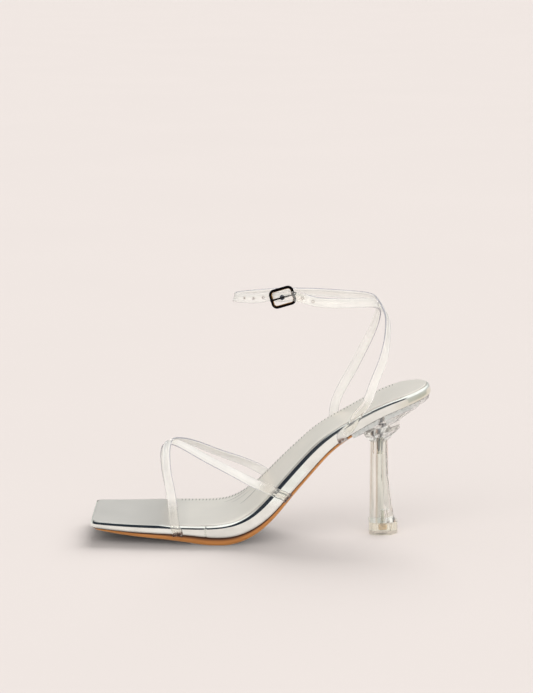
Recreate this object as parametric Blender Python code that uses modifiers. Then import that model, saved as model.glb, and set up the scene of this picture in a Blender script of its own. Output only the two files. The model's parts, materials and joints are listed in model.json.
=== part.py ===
# Strappy heeled sandal for the left foot: clear straps, a silver wrapped footbed,
# a tan outsole and a clear heel that flares at both ends.
# Metres, +Z up. The toe points to -X and the heel to +X. The outer side of the foot,
# which has the buckle, is at -Y. The sole rests on z = 0.

import math

import bmesh
import bpy
import numpy
from mathutils import Matrix, Vector

# Clearance between pieces that touch
GAP = 0.0003

# Footbed
LENGTH = 0.215              # toe to back of the heel, seen from above
BALL_WIDTH = 0.0745         # across the ball of the foot
TREAD_HEIGHT = 0.0135       # top of the insole under the toes
SEAT_HEIGHT = 0.099         # top of the insole at the back of the heel
ARCH_RAISE = 0.004          # inner edge above the outer edge at the waist
TOE_CORNER = 0.005          # corner radius of the square toe
HEEL_ROUND = 0.023          # depth of the round back of the heel seat
BOARD_DEPTH = 0.0102        # insole top to the wall's lower edge at the waist
OUTSOLE_DEPTH = 0.0054      # outsole thickness under the ball
INSOLE_THICKNESS = 0.001
INSOLE_INSET = 0.0014       # the wrapped edge that shows round the insole
EDGE_ROLL = 0.0018          # radius of the wrapped top edge
OUTSOLE_INSET = 0.0013
OUTSOLE_BEVEL = 0.0014      # how far the outsole's edge lifts off the floor
EDGE_TUCK = 0.0007          # how far the wall's lower edge turns in
EDGE_TUCK_RISE = 0.0012     # the height over which it turns in
INSOLE_BEVEL = 0.0005
INSOLE_BEVEL_DEPTH = 0.0003
SEAT_LENGTH = 0.0545        # the heel's front edge to the back; the outsole ends there
CLOSEST_STATIONS = 0.0008   # two places along the foot lie no nearer than this

# Heel
HEEL_DROP = 0.0384          # from the seat's height down to the column's narrow top
HEEL_SETBACK = 0.0372       # front face of the column, in from the back
HEEL_WAIST_LENGTH = 0.0109
HEEL_FOOT_LENGTH = 0.0170
HEEL_WAIST_WIDTH = 0.0130
HEEL_FOOT_WIDTH = 0.0175
HEEL_FRONT_CHAMFER = 0.0023
HEEL_BACK_CHAMFER = 0.0042
HEEL_BLOCK_LENGTH = 0.0225  # the thick block between the column and the seat
HEEL_BLOCK_WIDTH = 0.0310
HEEL_BLOCK_SETBACK = 0.0413 # front face of the block, in from the back
HEEL_BLOCK_CHAMFER = 0.0065
HEEL_RIM = 0.003            # thickness of the rim under the heel seat
HEEL_RIM_INSET = 0.0009
HEEL_RIM_TAPER = 0.0014
HEEL_LIP = 0.004            # straight edge behind the heel's front corners
CAP_HEIGHT = 0.0078
CAP_OVERHANG = 0.0004
CAP_BEVEL = 0.0006
CAP_SPREAD = 1.05           # its size, from the column's waist (0) to its foot (1)
DOWEL_RADIUS = 0.0016
DOWEL_HEAD_RADIUS = 0.0037
DOWEL_HEAD_HEIGHT = 0.0026
DOWEL_LENGTH = 0.0120
DOWEL_HEAD_LIFT = 0.0028    # floor to the dowel's head
SCREW_RADIUS = 0.0015
SCREW_HEAD_RADIUS = 0.0032
SCREW_HEAD_HEIGHT = 0.0016
SCREW_HEAD_EDGE = 0.0010    # the upright edge above the head's cone
SCREW_REACH = 0.0081        # its tip below the column's narrow top
PIECES = 3                  # facets to each side of the heel's octagon

# Straps
STRAP_WIDTH = 0.0060
STRAP_THICKNESS = 0.0017
PRESSED_WIDTH = 0.0068      # where a strap is pressed flat under the footbed
PRESSED_THICKNESS = 0.0012
TUCK = 0.0060               # how far a strap runs in under the footbed
STRAP_SPACING = 0.0048      # between a strap's sections
BEND_START = 0.0016         # in from the wall, where a strap starts to bend up round it
BEND_END = 0.0014           # above the wall's lower edge, where it lies on the wall
WALL_MIDDLE = 0.45          # share of the wall's depth at the middle of a strap's end
BEND_BULGE = 0.55           # how far out the bend stands, as a share of its offset
LIP_CLEAR = 0.0010          # above the footbed's top edge, where a strap is free
VAMP_HEIGHT = 0.0612        # floor to the crossing over the toes
ANKLE_HEIGHT = 0.1545       # floor to the middle of the ankle band
ANKLE_WIDTH = 0.0570        # across the ankle band

# Buckle
BUCKLE_LENGTH = 0.0140      # between the middles of its two bars
BUCKLE_HEIGHT = 0.0105      # between the middles of its two rails
BUCKLE_CORNER = 0.0026
BUCKLE_WIRE = 0.0008        # radius
BUCKLE_SLANT = 17.0         # degrees
PRONG_RADIUS = 0.00055
EYE_WALL = 0.0008
EYE_WIDTH = 0.0066          # the strap's end that holds the hinge bar
EYE_DROP = 0.0004           # its middle below the bar's middle
BUCKLE_ALONG = 0.565        # its middle, as a share of the length
BUCKLE_ACROSS = -0.974      # as a share of half the ankle band
BUCKLE_RISE = 1.019         # as a share of the ankle band's height
BUCKLE_TURN = 7.0           # degrees that it follows the ankle round
FREE_END_ROWS = 3           # rows of the band under the strap's free end
BAND_RISE = 0.0013          # the free end above the buckle's middle at the hinge

# The footbed's sections, from the toe to the heel. along is a share of LENGTH, rise of
# the height from tread to seat, outer and inner of half the ball width, arch of
# ARCH_RAISE, board of BOARD_DEPTH and outsole of OUTSOLE_DEPTH.
SECTION_COLUMNS = ("along", "rise", "outer", "inner", "arch", "board", "outsole")
SECTION_ROWS = (
    (0.000, 0.013, 0.790, 0.800, 0.00, 0.41, 0.30),
    (0.100, 0.002, 0.872, 0.905, 0.00, 0.51, 0.57),
    (0.200, 0.000, 0.948, 0.972, 0.00, 0.57, 0.77),
    (0.300, 0.000, 0.995, 0.992, 0.00, 0.67, 1.03),
    (0.375, 0.009, 1.004, 0.960, 0.10, 0.86, 1.09),
    (0.416, 0.034, 0.992, 0.915, 0.35, 0.94, 1.00),
    (0.453, 0.083, 0.965, 0.860, 0.70, 0.98, 0.86),
    (0.500, 0.179, 0.913, 0.785, 1.00, 1.00, 0.64),
    (0.551, 0.317, 0.838, 0.715, 0.92, 1.00, 0.52),
    (0.602, 0.452, 0.755, 0.668, 0.72, 1.00, 0.48),
    (0.658, 0.588, 0.694, 0.646, 0.40, 0.95, 0.46),
    (0.709, 0.680, 0.667, 0.645, 0.12, 0.87, 0.44),
    (0.760, 0.754, 0.664, 0.656, 0.00, 0.81, 0.42),
    (0.826, 0.844, 0.676, 0.671, 0.00, 0.75, 0.42),
    (0.891, 0.918, 0.690, 0.687, 0.00, 0.71, 0.42),
    (0.951, 0.968, 0.690, 0.690, 0.00, 0.66, 0.42),
    (1.000, 1.000, 0.690, 0.690, 0.00, 0.62, 0.42),
)
# The heel column. height is a share of the waist's height and spread how much of the
# way it is from the waist's size to the foot's.
COLUMN_COLUMNS = ("height", "spread")
COLUMN_ROWS = (
    (0.191, 0.72),
    (0.375, 0.42),
    (0.610, 0.12),
    (1.000, 0.00),
)
# The block's rings. rise is the share of the way from the waist to the rim above it.
BLOCK_COLUMNS = ("rise",)
BLOCK_ROWS = (
    (0.450,),
    (0.675,),
)

# Each strap's free run. along is a share of LENGTH, across of half the named width,
# height of the named height, heading the way that the outer face looks in degrees
# (0 to the heel, 90 to the inner side, 180 to the toe, 270 to the outer side), and
# lift how far it looks up.
STRAP_COLUMNS = ("along", "across", "height", "heading", "lift")

# From the outer side by the toes, over the crossing, to the inner side at the waist
TOE_TO_WAIST = (
    (0.241, -1.020, 0.550, 252.0, 4.0),
    (0.230, -0.870, 0.740, 232.0, 20.0),
    (0.224, -0.600, 0.900, 220.0, 40.0),
    (0.225, -0.245, 0.971, 200.0, 58.0),
    (0.237, 0.090, 0.982, 168.0, 64.0),
    (0.288, 0.378, 0.922, 138.0, 58.0),
    (0.360, 0.600, 0.793, 120.0, 46.0),
    (0.440, 0.765, 0.668, 104.0, 28.0),
)
# From the outer side at the waist, over the crossing, to the inner side by the toes
WAIST_TO_TOE = (
    (0.497, -0.915, 0.634, 262.0, 32.0),
    (0.437, -0.785, 0.722, 254.0, 50.0),
    (0.373, -0.590, 0.812, 246.0, 60.0),
    (0.311, -0.320, 0.894, 228.0, 67.0),
    (0.256, -0.020, 0.956, 190.0, 68.0),
    (0.224, 0.255, 0.932, 155.0, 56.0),
    (0.210, 0.620, 0.715, 128.0, 32.0),
    (0.217, 0.900, 0.440, 105.0, 10.0),
)
# From the outer side at the heel, behind the ankle, along the inner side, round the
# front and through the buckle
OUTER_TO_BUCKLE = (
    (0.803, -0.960, 0.566, 275.0, 4.0),
    (0.829, -0.945, 0.652, 285.0, 5.0),
    (0.857, -0.835, 0.752, 300.0, 8.0),
    (0.873, -0.560, 0.857, 325.0, 10.0),
    (0.870, -0.260, 0.925, 345.0, 16.0),
    (0.854, 0.000, 0.959, 365.0, 20.0),
    (0.836, 0.320, 0.977, 385.0, 14.0),
    (0.781, 0.760, 0.979, 418.0, 18.0),
    (0.705, 0.980, 0.982, 441.0, 28.0),
    (0.618, 1.000, 0.986, 452.0, 30.0),
    (0.529, 0.800, 0.988, 478.0, 24.0),
    (0.458, 0.440, 0.989, 508.0, 18.0),
    (0.424, 0.000, 0.993, 540.0, 14.0),
    (0.452, -0.430, 1.000, 572.0, 10.0),
    (0.494, -0.700, 1.007, 600.0, 5.0),
)
# From the inner side at the heel, behind the ankle, along the outer side to the buckle
INNER_TO_BUCKLE = (
    (0.732, 0.905, 0.538, 85.0, 4.0),
    (0.772, 0.875, 0.648, 74.0, 5.0),
    (0.811, 0.700, 0.762, 55.0, 8.0),
    (0.842, 0.380, 0.873, 35.0, 12.0),
    (0.850, 0.160, 0.927, 16.0, 18.0),
    (0.848, -0.090, 0.959, -6.0, 20.0),
    (0.829, -0.385, 0.979, -25.0, 14.0),
    (0.790, -0.715, 0.988, -52.0, 8.0),
    (0.723, -0.960, 0.994, -76.0, 3.0),
    (0.682, -1.026, 0.999, -86.0, 1.0),
    (0.648, -1.036, 1.007, -92.0, 0.0),
)

# Where each strap end passes the footbed's wall, at the wall's top edge and at its lower
# edge: metres behind the toe, or behind the heel's front edge for the heel straps
OUTER_TOE_LANDING = (0.0538, 0.0556)
INNER_WAIST_LANDING = (0.1097, 0.1118)
OUTER_WAIST_LANDING = (0.1152, 0.1170)
INNER_TOE_LANDING = (0.0482, 0.0478)
OUTER_HEEL_LANDING = (0.0085, -0.0053)
INNER_HEEL_LANDING = (-0.0047, -0.0117)

# Finish of each material: colour, roughness, metallic
FINISHES = {
    "silver wrap": ((0.80, 0.79, 0.75, 1.0), 0.16, 1.0),
    "silver insole": ((0.66, 0.66, 0.62, 1.0), 0.42, 0.7),
    "tan outsole": ((0.42, 0.17, 0.06, 1.0), 0.50, 0.0),
    "clear heel": ((0.88, 0.90, 0.87, 1.0), 0.05, 0.0),
    "clear cap": ((0.80, 0.76, 0.58, 1.0), 0.25, 0.0),
    "brass": ((0.62, 0.42, 0.16, 1.0), 0.30, 1.0),
    "steel": ((0.45, 0.46, 0.48, 1.0), 0.30, 1.0),
    "clear strap": ((0.95, 0.93, 0.88, 1.0), 0.08, 0.0),
    "black metal": ((0.02, 0.02, 0.02, 1.0), 0.22, 1.0),
}


def table(columns, rows):
    """Rows of numbers as dictionaries with named columns."""
    return [dict(zip(columns, row)) for row in rows]


class SmoothCurve:
    """A natural cubic spline through values at increasing keys."""

    def __init__(self, keys, values):
        self.keys = list(keys)
        self.values = list(values)
        count = len(self.keys)
        system = numpy.eye(count)
        right = numpy.zeros(count)
        for i in range(1, count - 1):
            before = self.keys[i] - self.keys[i - 1]
            after = self.keys[i + 1] - self.keys[i]
            system[i, i - 1] = before
            system[i, i] = 2.0 * (before + after)
            system[i, i + 1] = after
            rise_after = (self.values[i + 1] - self.values[i]) / after
            rise_before = (self.values[i] - self.values[i - 1]) / before
            right[i] = 6.0 * (rise_after - rise_before)
        self.bends = numpy.linalg.solve(system, right)

    def at(self, key):
        i = 0
        while i < len(self.keys) - 2 and key > self.keys[i + 1]:
            i += 1
        span = self.keys[i + 1] - self.keys[i]
        left = self.keys[i + 1] - key
        right = key - self.keys[i]
        bend_left = self.bends[i]
        bend_right = self.bends[i + 1]
        cubic = (bend_left * left ** 3 + bend_right * right ** 3) / (6.0 * span)
        line_left = (self.values[i] / span - bend_left * span / 6.0) * left
        line_right = (self.values[i + 1] / span - bend_right * span / 6.0) * right
        return float(cubic + line_left + line_right)


SECTIONS = table(SECTION_COLUMNS, SECTION_ROWS)
SECTION_CURVES = {
    column: SmoothCurve([row["along"] for row in SECTIONS], [row[column] for row in SECTIONS])
    for column in SECTION_COLUMNS[1:]
}


def section(column, x):
    """A section column's share at x, measured from the middle of the length."""
    along = min(max(x / LENGTH + 0.5, 0.0), 1.0)
    return SECTION_CURVES[column].at(along)


def top_height(x):
    return TREAD_HEIGHT + section("rise", x) * (SEAT_HEIGHT - TREAD_HEIGHT)


def slope_angle(x):
    """The insole's slope along the foot, in radians."""
    step = 0.0005
    low = max(x - step, -LENGTH / 2.0)
    high = min(x + step, LENGTH / 2.0)
    return math.atan2(top_height(high) - top_height(low), high - low)


def board_depth(x):
    return section("board", x) * BOARD_DEPTH


def sole_depth(x):
    return board_depth(x) + section("outsole", x) * OUTSOLE_DEPTH


def half_width(x, side):
    """Half the footbed's width at x on the outer (-1) or inner (+1) side."""
    column = "inner" if side > 0 else "outer"
    width = section(column, x) * BALL_WIDTH / 2.0
    from_toe = x + LENGTH / 2.0
    from_back = LENGTH / 2.0 - x
    if from_toe < TOE_CORNER:
        reach = TOE_CORNER - from_toe
        return width - TOE_CORNER + math.sqrt(max(TOE_CORNER ** 2 - reach ** 2, 0.0))
    if from_back < HEEL_ROUND:
        reach = (HEEL_ROUND - from_back) / HEEL_ROUND
        return width * math.sqrt(max(1.0 - reach ** 2, 0.0))
    return width


def foot_point(x, y, depth):
    """The point under (x, y) at a depth below the insole's top, square to its slope."""
    tilt = section("arch", x) * ARCH_RAISE / (half_width(x, -1) + half_width(x, 1) + GAP)
    slope = slope_angle(x)
    height = top_height(x) + tilt * y
    return Vector((x + depth * math.sin(slope), y, height - depth * math.cos(slope)))


def foot_normal(x):
    slope = slope_angle(x)
    return Vector((-math.sin(slope), 0.0, math.cos(slope)))


def breast_x():
    return LENGTH / 2.0 - SEAT_LENGTH


def stations(start, stop):
    """Places along the foot between two x: close together at the ball and at round ends."""
    toe = -LENGTH / 2.0
    back = LENGTH / 2.0
    places = []
    for degrees in (0.0, 25.0, 50.0, 75.0):
        places.append(toe + TOE_CORNER * (1.0 - math.cos(math.radians(degrees))))
    toe_steps = 8
    ball_start = toe + 0.34 * LENGTH
    for i in range(toe_steps):
        places.append(toe + TOE_CORNER + (ball_start - toe - TOE_CORNER) * i / toe_steps)
    waist_steps = 18
    waist_end = toe + 0.70 * LENGTH
    for i in range(waist_steps):
        places.append(ball_start + (waist_end - ball_start) * i / waist_steps)
    seat_steps = 5
    round_start = back - HEEL_ROUND
    for i in range(seat_steps):
        places.append(waist_end + (round_start - waist_end) * i / seat_steps)
    for degrees in (0.0, 12.0, 24.0, 36.0, 47.0, 57.0, 66.0, 74.0, 82.0):
        places.append(round_start + HEEL_ROUND * math.sin(math.radians(degrees)))
    inside = [x for x in places if start + CLOSEST_STATIONS < x < stop - CLOSEST_STATIONS]
    first = start if start > toe else places[0]
    last = stop if stop < back else places[-1]
    if last > inside[-1] + CLOSEST_STATIONS / 4.0:
        inside.append(last)
    return [first] + inside


def outline(places, inset, cut_end):
    """Plan points of the foot's outline moved in by inset: one list for each side.

    The toe is closed. The last place is a straight cut where cut_end is true."""
    outer = [Vector((x, -half_width(x, -1))) for x in places]
    inner = [Vector((x, half_width(x, 1))) for x in places]
    loop = outer + inner[::-1]
    count = len(loop)
    moved = []
    for i, point in enumerate(loop):
        before = loop[i - 1]
        after = loop[(i + 1) % count]
        if cut_end and i == len(outer) - 1:
            after = point
        if cut_end and i == len(outer):
            before = point
        into = (point - before).normalized() if (point - before).length > 0 else Vector((0, 0))
        out = (after - point).normalized() if (after - point).length > 0 else Vector((0, 0))
        way = (into + out).normalized()
        square = Vector((-way.y, way.x))
        stretch = 1.0
        if into.length > 0 and out.length > 0:
            stretch = 1.0 / max(math.sqrt((1.0 + into.dot(out)) / 2.0), 0.6)
        if cut_end and len(outer) - 1 <= i <= len(outer):
            square = Vector((0.0, square.y)).normalized()
        moved.append(point + square * inset * stretch)
    half = len(outer)
    return moved[:half], moved[half:][::-1]


def mesh_object(name, vertices, faces, collection):
    """An object whose faces point out."""
    mesh = bpy.data.meshes.new(name)
    mesh.from_pydata([tuple(v) for v in vertices], [], faces)
    work = bmesh.new()
    work.from_mesh(mesh)
    bmesh.ops.recalc_face_normals(work, faces=work.faces)
    work.to_mesh(mesh)
    work.free()
    made = bpy.data.objects.new(name, mesh)
    collection.objects.link(made)
    return made


def layer(name, collection, start, stop, rings, across, cut_end=False, floor=False):
    """A closed layer of the footbed, lofted down from its top face.

    rings holds an (inset, depth function) pair for each level of its edge, and across
    is how many facets lie between the foot's two sides."""
    places = stations(start, stop)
    vertices = []
    faces = []

    def between(left, right):
        ids = []
        for k in range(1, across):
            ids.append(len(vertices))
            vertices.append(vertices[left].lerp(vertices[right], k / across))
        return ids

    levels = []
    for inset, depth_at in rings:
        level = []
        for line in outline(places, inset, cut_end):
            first = len(vertices)
            for x, point in zip(places, line):
                placed = foot_point(point.x, point.y, depth_at(x))
                if floor:
                    placed.z = max(placed.z, 0.0)
                vertices.append(placed)
            level.append(list(range(first, len(vertices))))
        outer, inner = level
        level.append(between(outer[0], inner[0]))
        level.append(between(outer[-1], inner[-1]))
        levels.append(level)
    loops = [outer + back + inner[::-1] + front[::-1] for outer, inner, front, back in levels]
    for upper, lower in zip(loops, loops[1:]):
        for i in range(len(upper)):
            j = (i + 1) % len(upper)
            faces.append((upper[i], upper[j], lower[j], lower[i]))
    for outer, inner, front, back in (levels[0], levels[-1]):
        middle = [between(left, right) for left, right in zip(outer[1:-1], inner[1:-1])]
        rows = [front] + middle + [back]
        strips = [[left] + row + [right] for left, row, right in zip(outer, rows, inner)]
        for near, far in zip(strips, strips[1:]):
            for k in range(across):
                faces.append((near[k], near[k + 1], far[k + 1], far[k]))
    return mesh_object(name, vertices, faces, collection)


def footbed_rings():
    """The wrapped board: a rolled top edge, an upright wall and a tucked lower edge."""
    top = INSOLE_THICKNESS + GAP
    roll = EDGE_ROLL
    turns = [math.radians(a) for a in (90.0, 60.0, 30.0, 0.0)]
    rings = []
    for turn in turns:
        inset = roll * (1.0 - math.cos(turn))
        drop = top + roll * (1.0 - math.sin(turn))
        rings.append((inset, lambda x, d=drop: d))
    rings.append((0.0, lambda x: max(board_depth(x) - EDGE_TUCK_RISE, top + roll + GAP)))
    rings.append((EDGE_TUCK, lambda x: max(board_depth(x), top + roll + 2.0 * GAP)))
    return rings


def insole_rings():
    edge = INSOLE_INSET
    return [
        (edge + INSOLE_BEVEL, lambda x: 0.0),
        (edge, lambda x: INSOLE_BEVEL_DEPTH),
        (edge, lambda x: INSOLE_THICKNESS),
    ]


def outsole_rings():
    inset = OUTSOLE_INSET
    bevel = OUTSOLE_BEVEL

    def above_floor(lift, least):
        return lambda x: max(sole_depth(x) - lift, board_depth(x) + least)

    return [
        (inset, lambda x: board_depth(x) + GAP),
        (inset, above_floor(bevel, 2.0 * GAP)),
        (inset + bevel / 2.0, above_floor(bevel / 2.0, 3.0 * GAP)),
        (inset + 2.0 * bevel, sole_depth),
    ]


def octagon(front, back, half, front_chamfer, back_chamfer, pieces):
    """Plan points of a chamfered box, a few to each side, from its front outer corner."""
    corners = [
        (front, -half + front_chamfer),
        (front + front_chamfer, -half),
        (back - back_chamfer, -half),
        (back, -half + back_chamfer),
        (back, half - back_chamfer),
        (back - back_chamfer, half),
        (front + front_chamfer, half),
        (front, half - front_chamfer),
    ]
    points = []
    for i, corner in enumerate(corners):
        start = Vector(corner)
        end = Vector(corners[(i + 1) % len(corners)])
        points += [start.lerp(end, k / pieces) for k in range(pieces)]
    return points


def ring_solid(name, collection, rings, faces_of_end):
    """A closed loft through rings with equal counts. faces_of_end gives an end's faces."""
    vertices = []
    faces = []
    loops = []
    for ring in rings:
        loops.append(list(range(len(vertices), len(vertices) + len(ring))))
        vertices += ring
    for lower, upper in zip(loops, loops[1:]):
        count = len(lower)
        for i in range(count):
            j = (i + 1) % count
            faces.append((lower[i], lower[j], upper[j], upper[i]))
    faces.append(tuple(loops[0]))
    faces += faces_of_end(vertices, loops[-1])
    return mesh_object(name, vertices, faces, collection)


def seat_plan(inset):
    """Plan points of the heel seat that match the octagon's, from the front outer corner."""
    front = breast_x() + GAP
    round_start = LENGTH / 2.0 - HEEL_ROUND
    xs = [front + HEEL_LIP * k / PIECES for k in range(PIECES)]
    straight = round_start - front - HEEL_LIP
    xs += [front + HEEL_LIP + straight * k / PIECES for k in range(PIECES)]
    turns = (0.0, 20.0, 38.0, 56.0, 79.0)
    xs += [round_start + HEEL_ROUND * math.sin(math.radians(turn)) for turn in turns]

    def placed(x, side):
        if x <= round_start:
            return Vector((x, side * (half_width(x, side) - inset)))
        shrink = (HEEL_ROUND - inset) / HEEL_ROUND
        reach = round_start + (x - round_start) * shrink
        return Vector((reach, side * half_width(x, side) * shrink))

    outer = [placed(x, -1) for x in xs]
    inner = [placed(x, 1) for x in reversed(xs)]
    breast = [inner[-1].lerp(outer[0], k / PIECES) for k in range(1, PIECES)]
    return outer + inner + breast


def seat_faces(vertices, loop):
    """The heel's top face in strips across the foot, so that it follows the footbed."""
    rows = (len(loop) - PIECES + 1) // 2
    outer = loop[:rows]
    inner = loop[rows:2 * rows][::-1]
    strips = [[outer[0]] + loop[2 * rows:][::-1] + [inner[0]]]
    for left, right in zip(outer[1:-1], inner[1:-1]):
        middle = []
        for k in range(1, PIECES):
            middle.append(len(vertices))
            vertices.append(vertices[left].lerp(vertices[right], k / PIECES))
        strips.append([left] + middle + [right])
    faces = []
    for near, far in zip(strips, strips[1:]):
        for k in range(PIECES):
            faces.append((near[k], near[k + 1], far[k + 1], far[k]))
    faces.append((*strips[-1], inner[-1], outer[-1]))
    return faces


def heel_plan(spread, extra=0.0):
    """The column's octagon between its waist (0) and its foot (1)."""
    length = HEEL_WAIST_LENGTH + spread * (HEEL_FOOT_LENGTH - HEEL_WAIST_LENGTH)
    width = HEEL_WAIST_WIDTH + spread * (HEEL_FOOT_WIDTH - HEEL_WAIST_WIDTH)
    return octagon(
        column_front() - extra,
        column_front() + length + extra,
        width / 2.0 + extra,
        HEEL_FRONT_CHAMFER,
        HEEL_BACK_CHAMFER,
        PIECES,
    )


def column_front():
    return LENGTH / 2.0 - HEEL_SETBACK


def column_middle():
    return column_front() + HEEL_WAIST_LENGTH / 2.0


def waist_height():
    return SEAT_HEIGHT - HEEL_DROP


def rim_height(x):
    """The height of the heel rim's underside straight above a place in the plan."""
    depth = board_depth(x) + GAP + HEEL_RIM
    return top_height(x) - depth / math.cos(slope_angle(x))


def make_heel(parts):
    rings = [[p.to_3d() + Vector((0, 0, CAP_HEIGHT + GAP)) for p in heel_plan(1.0)]]
    for row in table(COLUMN_COLUMNS, COLUMN_ROWS):
        height = row["height"] * waist_height()
        rings.append([p.to_3d() + Vector((0, 0, height)) for p in heel_plan(row["spread"])])
    block_front = LENGTH / 2.0 - HEEL_BLOCK_SETBACK
    block_back = block_front + HEEL_BLOCK_LENGTH
    for row in table(BLOCK_COLUMNS, BLOCK_ROWS):
        ring = []
        half = HEEL_BLOCK_WIDTH / 2.0
        chamfer = HEEL_BLOCK_CHAMFER
        for p in octagon(block_front, block_back, half, chamfer, chamfer, PIECES):
            height = waist_height() + row["rise"] * (rim_height(p.x) - waist_height())
            ring.append(Vector((p.x, p.y, height)))
        rings.append(ring)
    for inset, drop in ((HEEL_RIM_TAPER, HEEL_RIM), (0.0, 0.0)):
        plan = seat_plan(HEEL_RIM_INSET + inset)
        rings.append([foot_point(p.x, p.y, board_depth(p.x) + GAP + drop) for p in plan])
    return ring_solid("heel", parts, rings, seat_faces)


def make_cap(parts):
    """The top piece under the column, with a rounded lower edge."""
    edge = CAP_OVERHANG
    rings = []
    for extra, height in ((edge - CAP_BEVEL, 0.0), (edge, CAP_BEVEL), (edge, CAP_HEIGHT)):
        rings.append([p.to_3d() + Vector((0, 0, height)) for p in heel_plan(CAP_SPREAD, extra)])
    return ring_solid("heel_cap", parts, rings, lambda vertices, loop: [tuple(loop)])


def turned(name, collection, profile, place, steps=16):
    """A turned solid. The profile of (radius, height) runs down its outer side."""
    mesh = bpy.data.meshes.new(name)
    points = [(radius, 0.0, height) for radius, height in profile]
    mesh.from_pydata(points, [(i, i + 1) for i in range(len(points) - 1)], [])
    made = bpy.data.objects.new(name, mesh)
    collection.objects.link(made)
    made.location = place
    spin = made.modifiers.new("spin", "SCREW")
    spin.steps = steps
    spin.render_steps = steps
    spin.use_merge_vertices = True
    spin.merge_threshold = 0.00001
    return made


def cylinder(name, collection, radius, start, end, sides=16):
    """A plain round cutter or eye between two points."""
    axis = end - start
    work = bmesh.new()
    turn = Vector((0, 0, 1)).rotation_difference(axis.normalized()).to_matrix().to_4x4()
    bmesh.ops.create_cone(
        work,
        cap_ends=True,
        segments=sides,
        radius1=radius,
        radius2=radius,
        depth=axis.length,
        matrix=Matrix.Translation((start + end) / 2.0) @ turn,
    )
    mesh = bpy.data.meshes.new(name)
    work.to_mesh(mesh)
    work.free()
    made = bpy.data.objects.new(name, mesh)
    collection.objects.link(made)
    return made


def boolean(target, tool, operation):
    change = target.modifiers.new(operation.lower(), "BOOLEAN")
    change.operation = operation
    change.solver = "EXACT"
    change.object = tool


def make_screw(parts, cutters, heel, board):
    """The heel screw, let into the board from above and down into the clear heel."""
    x = column_middle()
    top = foot_point(x, 0.0, INSOLE_THICKNESS + GAP).z
    sunk = SCREW_HEAD_RADIUS * math.tan(slope_angle(x)) + 2.0 * GAP
    head_top = top - sunk
    shoulder = head_top - SCREW_HEAD_HEIGHT
    tip = waist_height() - SCREW_REACH
    profile = [
        (0.0, head_top),
        (SCREW_HEAD_RADIUS, head_top),
        (SCREW_HEAD_RADIUS, head_top - SCREW_HEAD_EDGE),
        (SCREW_RADIUS, shoulder),
        (SCREW_RADIUS, tip + 2.0 * SCREW_RADIUS),
        (0.0, tip),
    ]
    screw = turned("heel_screw", parts, profile, Vector((x, 0.0, 0.0)))
    high = top + SCREW_HEAD_RADIUS
    shank = cylinder(
        "screw_bore", cutters, SCREW_RADIUS + GAP,
        Vector((x, 0.0, tip - GAP)), Vector((x, 0.0, high)),
    )
    seat = cylinder(
        "screw_seat", cutters, SCREW_HEAD_RADIUS + GAP,
        Vector((x, 0.0, shoulder - GAP)), Vector((x, 0.0, high)),
    )
    boolean(heel, shank, "DIFFERENCE")
    boolean(board, shank, "DIFFERENCE")
    boolean(board, seat, "DIFFERENCE")
    return screw


def make_dowel(parts, cutters, heel, cap):
    """The brass dowel that pins the top piece to the column."""
    x = column_front() + HEEL_FOOT_LENGTH / 2.0
    head_low = DOWEL_HEAD_LIFT
    head_high = head_low + DOWEL_HEAD_HEIGHT
    tip = head_low + DOWEL_LENGTH
    profile = [
        (0.0, tip),
        (DOWEL_RADIUS, tip),
        (DOWEL_RADIUS, head_high),
        (DOWEL_HEAD_RADIUS, head_high),
        (DOWEL_HEAD_RADIUS, head_low),
        (0.0, head_low),
    ]
    dowel = turned("cap_dowel", parts, profile, Vector((x, 0.0, 0.0)))
    pocket = cylinder(
        "dowel_pocket", cutters, DOWEL_HEAD_RADIUS + GAP,
        Vector((x, 0.0, head_low - GAP)), Vector((x, 0.0, CAP_HEIGHT + DOWEL_RADIUS)),
    )
    bore = cylinder(
        "dowel_bore", cutters, DOWEL_RADIUS + GAP,
        Vector((x, 0.0, head_high)), Vector((x, 0.0, tip + GAP)),
    )
    boolean(cap, pocket, "DIFFERENCE")
    boolean(heel, bore, "DIFFERENCE")
    return dowel


def facing(heading, lift):
    turn = math.radians(heading)
    up = math.radians(lift)
    return Vector((math.cos(turn) * math.cos(up), math.sin(turn) * math.cos(up), math.sin(up)))


def free_rows(rows, width, height):
    """A strap's free run as (place, facing, width, thickness)."""
    made = []
    for row in table(STRAP_COLUMNS, rows):
        place = Vector((
            (row["along"] - 0.5) * LENGTH,
            row["across"] * width / 2.0,
            row["height"] * height,
        ))
        made.append((place, facing(row["heading"], row["lift"]), STRAP_WIDTH, STRAP_THICKNESS))
    return made


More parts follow.
